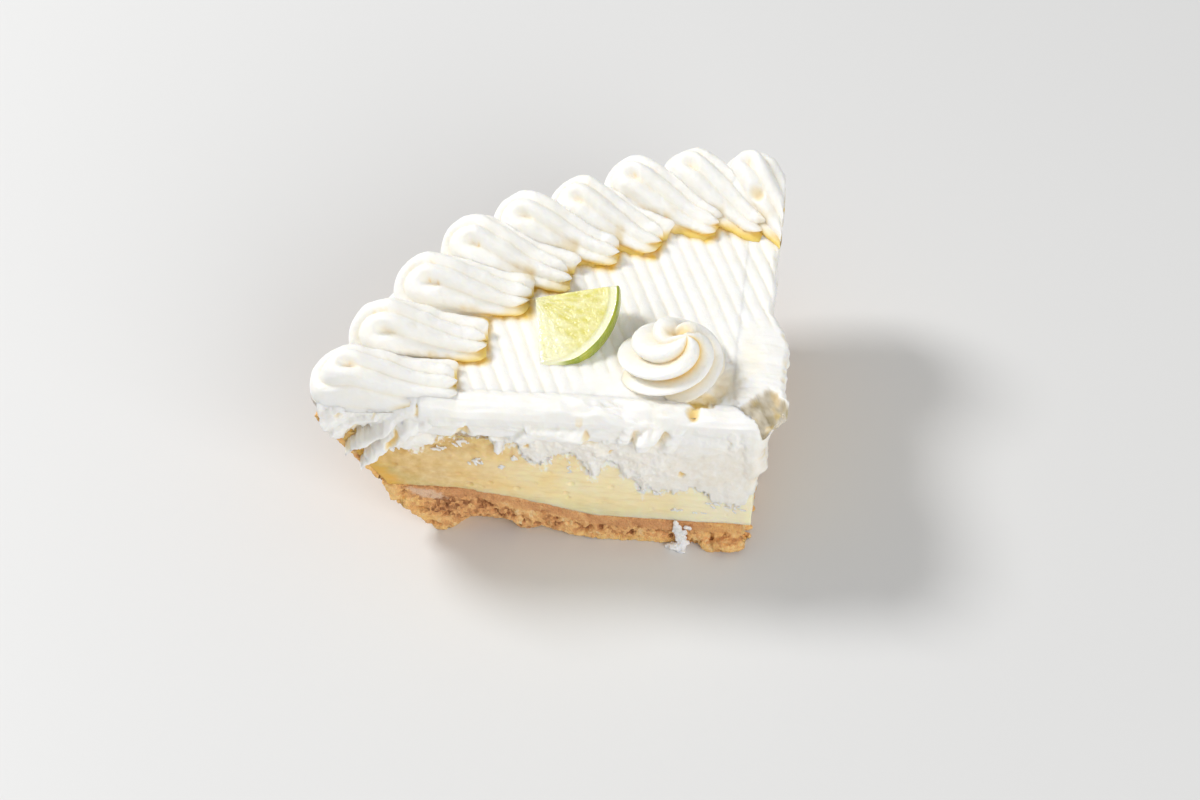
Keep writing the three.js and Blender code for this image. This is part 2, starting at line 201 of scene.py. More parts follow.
def remeshed(bm, voxel):
    # one skin round everything in the mesh, as even squares
    mesh = bpy.data.meshes.new("rough")
    bm.to_mesh(mesh)
    bm.free()
    lump = bpy.data.objects.new("rough", mesh)
    bpy.context.scene.collection.objects.link(lump)
    skin = lump.modifiers.new("skin", "REMESH")
    skin.mode = "VOXEL"
    skin.voxel_size = voxel
    graph = bpy.context.evaluated_depsgraph_get()
    evenMesh = bpy.data.meshes.new_from_object(lump.evaluated_get(graph))
    bpy.data.objects.remove(lump)
    bm = bmesh.new()
    bm.from_mesh(evenMesh)
    for used in (mesh, evenMesh):
        bpy.data.meshes.remove(used)
    return bm


# materials
def startMaterial(name, colour, roughness, glow=None):
    # glow is the light inside it: its share, its reach in red, green and blue, its depth
    material = bpy.data.materials.new(name)
    material.use_nodes = True
    tree = material.node_tree
    shader = tree.nodes["Principled BSDF"]
    shader.inputs["Base Color"].default_value = (*colour, 1)
    shader.inputs["Roughness"].default_value = roughness
    if glow:
        for part, value in zip(("Weight", "Radius", "Scale"), glow):
            shader.inputs["Subsurface " + part].default_value = value
    return material, tree, shader


def objectPlace(tree):
    return tree.nodes.new("ShaderNodeTexCoord").outputs["Object"]


def stretched(tree, place, scale):
    mapping = tree.nodes.new("ShaderNodeMapping")
    mapping.inputs["Scale"].default_value = scale
    tree.links.new(place, mapping.inputs["Vector"])
    return mapping.outputs["Vector"]


def noiseOf(tree, place, size, detail=3, roughness=0.55):
    # size is the width of the bumps, in millimetres
    node = tree.nodes.new("ShaderNodeTexNoise")
    node.inputs["Scale"].default_value = 1000 / size
    node.inputs["Detail"].default_value = detail
    node.inputs["Roughness"].default_value = roughness
    tree.links.new(place, node.inputs["Vector"])
    return node.outputs["Fac"]


def cellsOf(tree, place, size, output="Color", feature="F1"):
    node = tree.nodes.new("ShaderNodeTexVoronoi")
    node.feature = feature
    node.inputs["Scale"].default_value = 1000 / size
    tree.links.new(place, node.inputs["Vector"])
    return node.outputs[output]


def valueOf(tree, name):
    node = tree.nodes.new("ShaderNodeAttribute")
    node.attribute_name = name
    return node.outputs["Fac"]


def remapped(tree, value, low, high, toLow=0, toHigh=1):
    node = tree.nodes.new("ShaderNodeMapRange")
    names = ("From Min", "From Max", "To Min", "To Max")
    for name, number in zip(names, (low, high, toLow, toHigh)):
        node.inputs[name].default_value = number
    tree.links.new(value, node.inputs["Value"])
    return node.outputs["Result"]


def combined(tree, a, b, operation="ADD"):
    node = tree.nodes.new("ShaderNodeMath")
    node.operation = operation
    for socket, value in zip(node.inputs, (a, b)):
        if isinstance(value, (int, float)):
            socket.default_value = value
        else:
            tree.links.new(value, socket)
    return node.outputs["Value"]


def blended(tree, share, a, b):
    node = tree.nodes.new("ShaderNodeMix")
    node.data_type = "RGBA"
    for socket, value in zip((node.inputs[0], node.inputs[6], node.inputs[7]), (share, a, b)):
        if isinstance(value, tuple):
            socket.default_value = (*value, 1)
        elif isinstance(value, (int, float)):
            socket.default_value = value
        else:
            tree.links.new(value, socket)
    return node.outputs[2]


def ramp(tree, value, stops):
    node = tree.nodes.new("ShaderNodeValToRGB")
    elements = node.color_ramp.elements
    while len(elements) < len(stops):
        elements.new(0.5)
    for element, (position, colour) in zip(elements, stops):
        element.position = position
        element.color = (*colour, 1)
    tree.links.new(value, node.inputs["Fac"])
    return node.outputs["Color"]


def bumpy(tree, shader, height, distance, strength=1.0):
    # distance is the height of the relief, in millimetres
    node = tree.nodes.new("ShaderNodeBump")
    node.inputs["Strength"].default_value = strength
    node.inputs["Distance"].default_value = distance / 1000
    tree.links.new(height, node.inputs["Height"])
    tree.links.new(node.outputs["Normal"], shader.inputs["Normal"])


creamLook = {
    "white": (0.955, 0.94, 0.905),
    "shade": (0.93, 0.905, 0.845),
    "paintedWarmShade": (0.88, 0.61, 0.12),  # painted warm shade: the glow of light through the cream in deep creases, pits and beside the shells
    "thin": (0.77, 0.66, 0.48),  # where the custard shows through a thin smear, and painted warm shade on the front cut, the right cut's lower part and the torn corner
    "shaded": (0.42, 0.35, 0.21),  # torn hollows and the pockets between the shells
    "roughness": 0.5,
    "glow": (0.55, (1, 0.88, 0.68), 0.0024),
}


def creamMaterial():
    material, tree, shader = startMaterial(
        "whippedCream", creamLook["white"], creamLook["roughness"], creamLook["glow"]
    )
    place = objectPlace(tree)
    mottle = remapped(tree, noiseOf(tree, place, 5), 0.35, 0.7)
    colour = blended(tree, mottle, creamLook["white"], creamLook["shade"])
    patchy = remapped(tree, noiseOf(tree, place, 1.8, 4), 0.3, 0.7, 0.5, 1.4)
    # the thin smear's tint, which also carries painted warm shade
    thin = combined(tree, valueOf(tree, "thin"), patchy, "MULTIPLY")
    colour = blended(tree, thin, colour, creamLook["thin"])
    colour = blended(tree, valueOf(tree, "shaded"), colour, creamLook["shaded"])
    # painted warm shade in the creases, pits and hollows
    colour = blended(tree, valueOf(tree, "hollowAndPaintedShade"), colour, creamLook["paintedWarmShade"])
    tree.links.new(colour, shader.inputs["Base Color"])
    fine = combined(tree, noiseOf(tree, place, 0.9, 3), noiseOf(tree, place, 0.3, 2))
    bumpy(tree, shader, fine, 0.09)
    return material


custardLook = {
    "yellow": (0.99, 0.755, 0.375),
    "pale": (1.0, 0.835, 0.51),
    # tan: the knife's streaks and the custard's top under the cream, and painted shade toward the left
    # end
    "tanAndPaintedShade": (0.65, 0.41, 0.125),
    "skin": (0.88, 0.45, 0.075),  # the amber skin where it baked against the crust
    "lit": (1.0, 0.915, 0.70),  # paler towards the tip
    "veil": (0.96, 0.93, 0.87),  # thin streaks of cream that the knife dragged down
    "roughness": 0.36,
    "glow": (0.55, (1, 0.7, 0.25), 0.003),
}


def custardMaterial():
    material, tree, shader = startMaterial(
        "bakedCustard", custardLook["yellow"], custardLook["roughness"], custardLook["glow"]
    )
    place = objectPlace(tree)
    streaks = noiseOf(tree, stretched(tree, place, (0.25, 0.25, 1)), 1.6, 4)
    cloud = remapped(tree, noiseOf(tree, place, 7, 2), 0.35, 0.65)
    colour = blended(tree, cloud, custardLook["yellow"], custardLook["pale"])
    colour = blended(tree, remapped(tree, streaks, 0.52, 0.75, 0, 0.4), colour, custardLook["tanAndPaintedShade"])
    mottle = remapped(tree, noiseOf(tree, place, 2.4, 4), 0.3, 0.7, 0.6, 1.3)
    tanAndPaintedShade = combined(tree, valueOf(tree, "tanAndPaintedShade"), mottle, "MULTIPLY")
    colour = blended(tree, tanAndPaintedShade, colour, custardLook["tanAndPaintedShade"])
    colour = blended(tree, valueOf(tree, "skin"), colour, custardLook["skin"])
    colour = blended(tree, valueOf(tree, "lit"), colour, custardLook["lit"])
    threads = noiseOf(tree, stretched(tree, place, (1, 1, 0.5)), 0.75, 4)
    flecks = combined(tree, threads, valueOf(tree, "veil"))
    colour = blended(tree, remapped(tree, flecks, 0.98, 1.22, 0, 0.9), colour, custardLook["veil"])
    tree.links.new(colour, shader.inputs["Base Color"])
    fine = combined(tree, streaks, combined(tree, noiseOf(tree, place, 0.6, 2), 0.4, "MULTIPLY"))
    bumpy(tree, shader, fine, 0.1)
    return material


crumbLook = {
    "dark": (0.33, 0.125, 0.04),
    "brown": (0.76, 0.37, 0.14),
    "gold": (0.95, 0.58, 0.235),
    "pale": (0.97, 0.76, 0.46),
    "pressed": (0.69, 0.33, 0.135),  # the smooth band that was pressed under the custard
    "toasted": (0.93, 0.54, 0.15),
    "smear": (0.80, 0.55, 0.37),  # custard that was dragged over the crumbs
    "roughness": 0.8,
    "glow": (0.15, (1, 0.5, 0.2), 0.0012),
}


def crumbMaterial():
    material, tree, shader = startMaterial(
        "crumbCrust", crumbLook["brown"], crumbLook["roughness"], crumbLook["glow"]
    )
    place = objectPlace(tree)
    crumb = cellsOf(tree, place, 1.0)
    tone = combined(tree, crumb, 0.4, "MULTIPLY")
    patches = noiseOf(tree, place, 3.2, 3)
    # the pit share darkens the holes where crumbs fell out, a painted shade, and the browner crumbs
    weights = [(patches, 0.65), (valueOf(tree, "toasted"), 0.22), (valueOf(tree, "pit"), -0.25)]
    for value, weight in weights:
        tone = combined(tree, tone, combined(tree, value, weight, "MULTIPLY"))
    stops = [(0.22, "dark"), (0.42, "brown"), (0.64, "gold"), (0.86, "pale")]
    colour = ramp(tree, tone, [(position, crumbLook[name]) for position, name in stops])
    grains = remapped(tree, noiseOf(tree, place, 0.7, 3), 0.35, 0.65, 0.75, 1.05)
    pressed = combined(tree, valueOf(tree, "pressed"), grains, "MULTIPLY")
    colour = blended(tree, pressed, colour, crumbLook["pressed"])
    uneven = remapped(tree, crumb, 0.2, 0.8, 0.2, 0.9)
    toasted = combined(tree, valueOf(tree, "toasted"), uneven, "MULTIPLY")
    colour = blended(tree, toasted, colour, crumbLook["toasted"])
    colour = blended(tree, valueOf(tree, "smear"), colour, crumbLook["smear"])
    tree.links.new(colour, shader.inputs["Base Color"])
    fine = combined(tree, cellsOf(tree, place, 0.55, "Distance"), noiseOf(tree, place, 0.4, 3))
    bumpy(tree, shader, fine, 0.25)
    return material


# crust
crustShape = {
    "seed": 12,
    "voxel": 0.45,
    "arc": (80, 100),  # where the spin starts and how far it goes, in degrees
    "turnSteps": 96,
    "lumps": [(2.6, 0.7), (1.3, 0.5)],  # size and height of the crumbs, mm
    "pit": 0.9,  # depth of the holes where crumbs fell out
    # where the lower front edge crumbled back: the arch's two slopes, and its depth
    "arch": ((33, 60), (67, 75), 5.5),
    "toe": (-54, 3, 2.4),  # a lump left standing in the arch: x, reach and size
    "band": (4.2, 2.4),  # the smooth band under the custard, from where to where
    "axis": 0.01,  # the profile keeps this far from the axis that it is spun round
    "lip": [(105.4, 41.4), (104.6, 41.3)],  # the rounded rim, as radius and height
    "inside": [18.5, 27.7, 41],  # heights of the wall's inner points
    "leftEnd": (-89, -76),  # where the toasted left end stops
    "browned": (-82, -52),  # where the browner crumbs beside it stop
    "smear": (-79, 14.6, 5, 1.5),  # the dragged custard: x, z, and reach along each
}


def brokenAway(x):
    # how far the lower front edge has crumbled back from the cut
    rise, fall, depth = crustShape["arch"]
    toeX, toeReach, toeSize = crustShape["toe"]
    arch = softStep(-x, *rise) * (1 - softStep(-x, *fall))
    return depth * arch - toeSize * hump(x, toeX, toeReach)


def crumbRelief(point, share):
    total = 0
    for size, height in crustShape["lumps"]:
        near = noise.voronoi(point / size)[0]
        total += height * (0.55 - near[0])
    hole = softStep(grain(*point, 2.4, 3), 0.24, 0.46)
    total -= crustShape["pit"] * hole
    return total * share + 0.12 * grain(*point, 0.7, 2), hole


def makeCrust():
    axis = crustShape["axis"]
    inside = [(max(r, axis), z) for r, z in crustSizes["floor"]]
    inside += [(wallRadius(z) - crustSizes["wall"], z) for z in crustShape["inside"]]
    outline = [(axis, 0), *crustSizes["outline"], *crustShape["lip"], *reversed(inside)]
    bm = bmesh.new()
    ring = [bm.verts.new((r, 0, z)) for r, z in outline]
    edges = [bm.edges.new(pair) for pair in zip(ring, ring[1:] + ring[:1])]
    start, arc = (math.radians(angle) for angle in crustShape["arc"])
    bmesh.ops.rotate(bm, verts=bm.verts, matrix=Matrix.Rotation(start, 3, "Z"))
    bmesh.ops.spin(
        bm, geom=ring + edges, cent=(0, 0, 0), axis=(0, 0, 1), dvec=(0, 0, 0),
        angle=arc, steps=crustShape["turnSteps"], use_merge=False,
    )
    closeHoles(bm)
    bmesh.ops.recalc_face_normals(bm, faces=bm.faces)
    lean = Vector((1, -cuts["rightLean"], 0)).normalized()
    corner = Vector((cuts["tipX"], cuts["front"], 0))
    for middle, normal in ((corner, Vector((0, -1, 0))), (corner, lean)):
        bmesh.ops.bisect_plane(
            bm, geom=bm.verts[:] + bm.edges[:] + bm.faces[:], dist=0.0001,
            plane_co=middle, plane_no=normal, clear_outer=True,
        )
        closeHoles(bm)
    dice = random.Random(crustShape["seed"])
    for x, y, size in crumbPlaces(dice):
        place = Matrix.Translation((x, y, size * dice.uniform(0.6, 1.3)))
        turn = Matrix.Rotation(dice.uniform(0, 6), 4, (dice.random(), 0.4, dice.random()))
        bmesh.ops.create_icosphere(bm, subdivisions=2, radius=size, matrix=place @ turn)
    bm = remeshed(bm, crustShape["voxel"])
    bmesh.ops.smooth_vert(
        bm, verts=bm.verts, factor=0.5, use_axis_x=True, use_axis_y=True, use_axis_z=True
    )
    bm.normal_update()
    pressed, toasted, pits, smear = newLayers(bm, "pressed", "toasted", "pit", "smear")
    bandLow, bandHigh = crustShape["band"]
    smearX, smearZ, smearLength, smearHeight = crustShape["smear"]
    moves = []
    for vert in bm.verts:
        x, y, z = vert.co
        radius = math.hypot(x, y)
        towardFront = 1 - softStep(y, 11, 24)
        shift = max(brokenAway(x) - 0.8 * z, 0) * towardFront
        onFront = vert.normal.y < -0.5 and y < 20
        onRight = vert.normal.x > 0.5 and x > 0
        outside = radius > wallRadius(z) - 0.9 or z < 0.3
        floorHere = valueAt(crustSizes["floor"], radius)
        band = softStep(z, floorHere - bandLow, floorHere - bandHigh) if radius < floorReach else 0
        share = browner = 0.0
        if onFront or onRight:
            share = mix(1.1, 0.22, band)
            vert[pressed] = min(max(band * (0.9 + 0.7 * grain(x, y, z, 4)), 0), 1)
            end = x + 0.7 * (z - 12) + 3 * grain(x, y, z, 5)
            leftEnd = 1 - softStep(end, *crustShape["leftEnd"])
            lowEdge = 1 - softStep(z + 1.5 * grain(x, y, z, 3), 0.6, 3.2)
            vert[toasted] = max(0.95 * leftEnd, 0.8 * lowEdge, 0.6 * softStep(x, -12, -1))
            browner = 0.95 * (1 - softStep(x, *crustShape["browned"])) * (1 - leftEnd)
            browner *= softStep(z, 4, 9)
            fromSmear = x - smearX
            sloped = z - smearZ + 0.2 * fromSmear
            smearAway = math.hypot(fromSmear / smearLength, sloped / smearHeight)
            vert[smear] = 0.9 * (1 - softStep(smearAway + 0.5 * grain(x, y, z, 1.5), 0.7, 1.1))
        elif outside and z < crustSizes["rim"] - 0.5:
            share = 0.6
            vert[toasted] = 0.4
        lift, hole = crumbRelief(vert.co, share) if share else (0, 0)
        # darker in the holes, a painted shade, and where the crumbs are browner
        vert[pits] = max(hole, browner)
        push = vert.normal * lift
        if z < 0.4:
            push.z = max(push.z, 0)
        moves.append(push + Vector((0, shift, 0)))
    for vert, move in zip(bm.verts, moves):
        vert.co += move
        vert.co.z = max(vert.co.z, 0)
    # the hidden inside needs fewer faces; a dict keeps the order the same in each run
    inner = [f for f in bm.faces if isInsideCrust(f)]
    innerEdges = list(dict.fromkeys(e for f in inner for e in f.edges))
    innerVerts = list(dict.fromkeys(v for f in inner for v in f.verts))
    bmesh.ops.dissolve_limit(bm, angle_limit=math.radians(3), verts=innerVerts, edges=innerEdges)
    return finishPiece(bm, "crumbCrust", ["crust"], [crumbMaterial()])


def isInsideCrust(face):
    x, y, z = face.calc_center_median()
    radius = math.hypot(x, y)
    deep = y > cuts["front"] + 1.5 and x < rightCut(y) - 1.5 and z < crustSizes["rim"] - 2
    return deep and radius < wallRadius(z) - 1 and z > 4


def crumbPlaces(dice):
    # crumbs that cling to the lower edges of both cuts, and the lump under the tip
    x = -77.0
    while x < cuts["tipX"] - 6:
        yield x, cuts["front"] + 0.8 + max(brokenAway(x), 0) + dice.random(), dice.uniform(0.6, 1.5)
        x += dice.uniform(1.0, 2.6)
    y = cuts["front"] + 3.0
    while y < 75:
        yield rightCut(y) - 0.8 - 0.4 * dice.random(), y, dice.uniform(0.6, 1.4)
        y += dice.uniform(1.8, 4.0)
    x = cuts["tipX"] - 12
    while x < cuts["tipX"] - 2:
        forward = 2.2 * math.sin(math.pi * (cuts["tipX"] - 1 - x) / 12)
        yield x, cuts["front"] + 0.5 - forward, dice.uniform(1.4, 2.2)
        x += 1.3


# custard
custardShape = {
    "seed": 5,
    "columns": 280,
    "rows": 120,
    "levels": 64,
    "gap": 0.3,
    "wall": (17.3, 36),  # the heights between which it meets the crust's wall
    # bubbles cut open at the front: x, z, radius
    "bubbles": [
        (-67.4, 18.7, 0.9), (-62.2, 20, 0.7), (-55.4, 18, 0.8), (-70, 22.6, 0.5), (-41.6, 21, 0.9),
        (-43, 17.3, 0.7), (-42.4, 15.6, 0.6), (-31.4, 20.6, 0.7), (-64, 18, 0.4), (-86, 25, 0.6),
        (-37, 24, 0.5), (-47, 25, 0.5), (-8.5, 20.2, 0.6), (-25, 19, 0.4), (-58, 22, 0.4),
        (-74.5, 15.6, 0.9), (-21, 13, 0.4), (-34, 14.5, 0.35), (-50.5, 20.5, 0.4), (-2, 12.5, 0.35),
    ],
    "sideBubbles": 26,
    "streaks": 0.16,  # depth of the knife's fine streaks
    "waves": 0.22,  # depth of the broad unevenness
    "torn": ((26, 31), (-34, -22), 0.5),  # under the cream: in z, in x, and how rough
    "skin": (0.8, 6.5),  # how far from the crust the amber skin fades
}


def bubbleDent(across, z, bubbles):
    # how deep the bubbles that the knife cut open are at a place
    dent = 0
    for middle, middleZ, size in bubbles:
        reach = math.hypot(across - middle, (z - middleZ) * 1.3) / size
        if reach < 1.3:
            dent += 0.8 * size * (1 - softStep(reach, 0.5, 1.3))
    return dent


def custardFront(x, z):
    # the depth of the knife's streaks, and of the torn part under the cream
    upward, rightward, roughness = custardShape["torn"]
    torn = softStep(z, *upward) * (1 - softStep(x, *rightward))
    streaks = custardShape["streaks"] * grain(x * 0.22, 0, z, 1.5, 3)
    streaks += custardShape["waves"] * grain(x, 7, z, 9, 2)
    return streaks + torn * (roughness * grain(x, 3, z, 1.6, 3) + 0.3)


def makeCustard():
    sizes = custardShape
    bm = gridBlock(sizes["columns"], sizes["rows"], sizes["levels"])
    tanAndPaintedShade, skin, veil, lit = newLayers(bm, "tanAndPaintedShade", "skin", "veil", "lit")
    dice = random.Random(sizes["seed"])
    low, high = sizes["wall"]
    sideBubbles = [
        (dice.uniform(14, 95), dice.uniform(12, 33), dice.uniform(0.35, 0.9))
        for _ in range(sizes["sideBubbles"])
    ]
    for vert in bm.verts:
        u, v, w = vert.co
        radius = wallRadius(mix(low, high, w)) - crustSizes["wall"] - 0.05
        x, y = wedgePlace(u, v, radius, cuts["front"] + 0.15, 0.15)
        away = math.hypot(x, y)
        share = min(away / radius, 1)
        floorHeight = valueAt(crustSizes["floor"], share * floorReach) + sizes["gap"]
        floorHeight = mix(floorHeight, low, softStep(share, 0.95, 1))
        z = mix(floorHeight, mix(valueAt(custardTop, away), high, softStep(share, 0.9, 1)), w)
        if v < 0.0001:
            y += custardFront(x, z) + bubbleDent(x, z, sizes["bubbles"])
        if u > 0.9999:
            streaks = sizes["streaks"] * grain(3, y * 0.22, z, 1.5, 3) + 0.25 * grain(9, y, z, 8, 2)
            x -= streaks + bubbleDent(y, z, sideBubbles)
        fromWall = radius - away + 1.6 * grain(x, y, z, 3, 2)
        vert[skin] = 0.95 * (1 - softStep(fromWall, *sizes["skin"])) * (1 - 0.8 * softStep(z, 28, 33))
        # tan near the top under the cream, partly the baked top's own tan and partly painted shade
        # under the overhang, stronger toward the left; the left end is darker by painted shade, and
        # the lower left is darker too
        upper = softStep(z, 21 + 3 * grain(x, 1, z, 8), 33)
        left = 1 - softStep(x, -92, -40)
        under = 0.4 * (1 - softStep(x, -88, -66)) * (1 - softStep(z, 15, 19))
        vert[tanAndPaintedShade] = min(max(upper * mix(0.2, 1, left), 0.8 * left, under), 1)
        below = valueAt(skinShape["fringe"], x) - z + 2.5 * grain(x, 6, z, 4, 2)
        reach = mix(0.8, 0.5, softStep(x, -24, -14))
        vert[veil] = reach * (1 - softStep(below, -1, 8)) * (1 - softStep(-x, 84, 90))
        towardTip = 0.25 * softStep(x, -60, -30) + 0.5 * softStep(x, -24, 1)
        vert[lit] = towardTip * (1 - softStep(y, 14, 30))
        vert.co = (x, y, z)
    closeHidden(bm, isHiddenCustard)
    return finishPiece(bm, "bakedCustard", ["filling"], [custardMaterial()])


def isHiddenCustard(middle):
    x, y, z = middle
    away = math.hypot(x, y)
    deep = y > cuts["front"] + 0.9 and x < rightCut(y) - 0.9
    return deep and away < 99


# the combed layer of cream
combShape = {
    "columns": 270,
    "rows": 215,
    "levels": 16,
    "pitch": 3.4,
    "depth": 0.6,
    "turn": math.radians(20.5),
    "start": -71,  # across the grooves, from the pie's centre
    "smearedTo": (40, 52),  # how far back, in y, the edges were smeared
    # where the grooves fade out toward the front, as x and y
    "fade": [(-100, 10), (-72, 10.5), (-52, 12), (-44, 15), (-36, 23), (-22, 24), (-8, 27), (8, 30)],
    # side of the layer, from its underside up: share of the height, radius, height
    "side": [(0, 100.2, 38), (0.3, 103.2, 41.0), (0.38, 105, 41.7), (0.7, 104.9, 44.6),
             (0.9, 103.6, 46.4), (1, 101.6, 47)],
    # hollows pressed into the top: x, y, reach along x and y, depth, and how much painted warm shade
    # fills them
    "dents": [
        (-11.2, 13.4, 1.4, 2.6, 1.2, 0.8), (-10.2, 17.0, 2.2, 1.8, 1.1, 0.9),
        (-7.8, 19.4, 2.8, 2.0, 0.9, 0.6), (-5.2, 22.4, 2.4, 2.8, 0.6, 0.35),
        (-4, 24, 3.5, 5, 0.7, 0.25), (-7.5, 31, 2.5, 7, 0.5, 0.2),
        (-24, 44, 4, 4, 0.3, 0.1), (-30, 16, 7, 2.5, 0.5, 0), (2, 33, 3, 6, 0.4, 0.1),
    ],
}
# where the corner tore away
tornCorner = {
    "rim": Vector((0.4, 17.1)),  # a point on its upper edge
    "fall": Vector((0.72, -0.69)),  # the way it slopes down
    "from": -1.8,  # how far its upper edge runs, to each side of that point
    "to": 9.5,
    "slope": 0.62,
    "deepest": 4.5,
    "roughness": 0.55,
}


def edgeCalm(x, y):
    # how far the comb's grooves were smeared over beside the cuts
    insideFront, insideRight = y - cuts["front"], rightCut(y) - x
    narrow = 1 - softStep(min(insideFront, insideRight), 3.6, 6)
    wide = 1 - softStep(insideRight + 1.5 * grain(x * 0.3, y, 7, 4), 2.5, 9)
    return max(narrow, wide) * (1 - softStep(y, *combShape["smearedTo"]))


def combHeight(x, y):
    # the height of the combed top, and the painted warm shade in its grooves and dents
    turn = combShape["turn"]
    across = x * math.cos(turn) + y * math.sin(turn) - combShape["start"]
    along = y * math.cos(turn) - x * math.sin(turn)
    across += 0.35 * grain(across * 0.3, along * 0.3, 2, 6, 2)
    phase = across / combShape["pitch"]
    ridge = abs(math.cos(math.pi * phase)) ** 0.7
    fadeFrom = valueAt(combShape["fade"], x) + 2.5 * grain(x, 3, 1, 6)
    strength = softStep(y, fadeFrom - 1, fadeFrom + 6)
    uneven = 0.75 + 0.35 * grain(across * 0.4, along * 0.12, 5, 3, 2)
    strength *= uneven * (1 - edgeCalm(x, y))
    groove = combShape["depth"] * (1 - ridge) * strength
    swell = 0.35 * grain(x, y, 0, 17, 2) + 0.1 * grain(x, y, 4, 2.2, 3)
    # painted warm shade in the bottoms of the grooves
    hollowAndPaintedShade = 0.16 * (1 - ridge) ** 2 * strength
    height = creamTop - groove + swell - 0.25
    for dx, dy, reachX, reachY, depth, paintedWarmShade in combShape["dents"]:
        reach = math.hypot((x - dx) / reachX, (y - dy) / reachY)
        if reach < 1.8:
            reach *= 1 + 0.4 * grain(x, y, 8, 1.8, 3)
            pit = 1 - softStep(reach, 0.1, 1.6)
            height -= depth * pit
            hollowAndPaintedShade = max(hollowAndPaintedShade, min(1.3 * pit, 1) * paintedWarmShade)
    return height, hollowAndPaintedShade


def tailShadow(x, y, own=0):
    # how amber the cream looks in the notches beside the shells' broad ends
    total = 0
    for number, (angle, radius, length, slant, _) in enumerate(shellShape["rows"], 1):
        if number == own:
            continue
        heading = math.radians(angle + 180 + slant)
        dx = x - radius * math.cos(math.radians(angle))
        dy = y - radius * math.sin(math.radians(angle))
        reach = dx * math.cos(heading) + dy * math.sin(heading)
        along = (reach + shellShape["overhang"]) / (length + shellShape["overhang"])
        if 0.4 < along < 1.15:
            side = abs(dy * math.cos(heading) - dx * math.sin(heading))
            apart = math.hypot(max(side - 6.4, 0), max(reach - length * 0.97, 0))
            total += (1 - softStep(apart, 0.4, 3.2)) * softStep(along, 0.5, 0.8)
    return min(0.95 * total * (1 + 0.6 * grain(x, y, 3, 2.5)), 1)


def scooped(point):
    # lowers a point onto the rough slope where the corner tore away
    offset = point.xy - tornCorner["rim"]
    fall = tornCorner["fall"]
    down = offset.dot(fall) + 0.8 * grain(*point.xy, 1, 2.4, 3)
    sideways = offset.dot(Vector((-fall.y, fall.x))) + 0.8 * grain(*point.xy, 5, 2, 3)
    inside = softStep(down, 0, 0.9)
    inside *= softStep(sideways, tornCorner["from"], tornCorner["from"] + 1.5)
    inside *= 1 - softStep(sideways, tornCorner["to"] - 1.2, tornCorner["to"])
    if inside < 0.01:
        return point, 0
    rough = tornCorner["roughness"] * grain(down * 0.3, sideways, 2, 1.7, 4)
    rough += 0.5 * grain(down, sideways, 7, 4)
    slope = creamTop - 0.3 - tornCorner["slope"] * down
    floor = max(slope, creamTop - tornCorner["deepest"]) + rough
    drop = max(point.z - floor, 0) * inside
    return point - Vector((0, 0, drop)), min(drop, 1)


def makeCreamTop(material):
    sizes = combShape
    bm = gridBlock(sizes["columns"], sizes["rows"], sizes["levels"])
    hollowAndPaintedShade, shaded = newLayers(bm, "hollowAndPaintedShade", "shaded")
    radii = [(share, radius) for share, radius, _ in sizes["side"]]
    heights = [(share, height) for share, _, height in sizes["side"]]
    for vert in bm.verts:
        u, v, w = vert.co
        radius = valueAt(radii, w) + 0.3 * grain(u * 150, v * 150, w * 9, 5, 2)
        x, y = wedgePlace(u, v, radius, cuts["front"] + 1.4, 1.2)
        z = valueAt(heights, w)
        if w > 0.9999:
            z, paintedWarmShade = combHeight(x, y)
            # painted warm shade in the grooves and dents and in the notches beside the shells' tails
            vert[hollowAndPaintedShade] = max(paintedWarmShade, tailShadow(x, y))
        vert.co, torn = scooped(Vector((x, y, z)))
        vert.co.z -= 0.5 * torn
        # painted shade on the torn corner
        vert[shaded] = 0.7 * torn
    closeHidden(bm, lambda middle: middle.z < 40 and middle.y > 13.2 and math.hypot(*middle.xy) < 99.5)
    return finishPiece(bm, "combedCream", ["cream_layer"], [material])


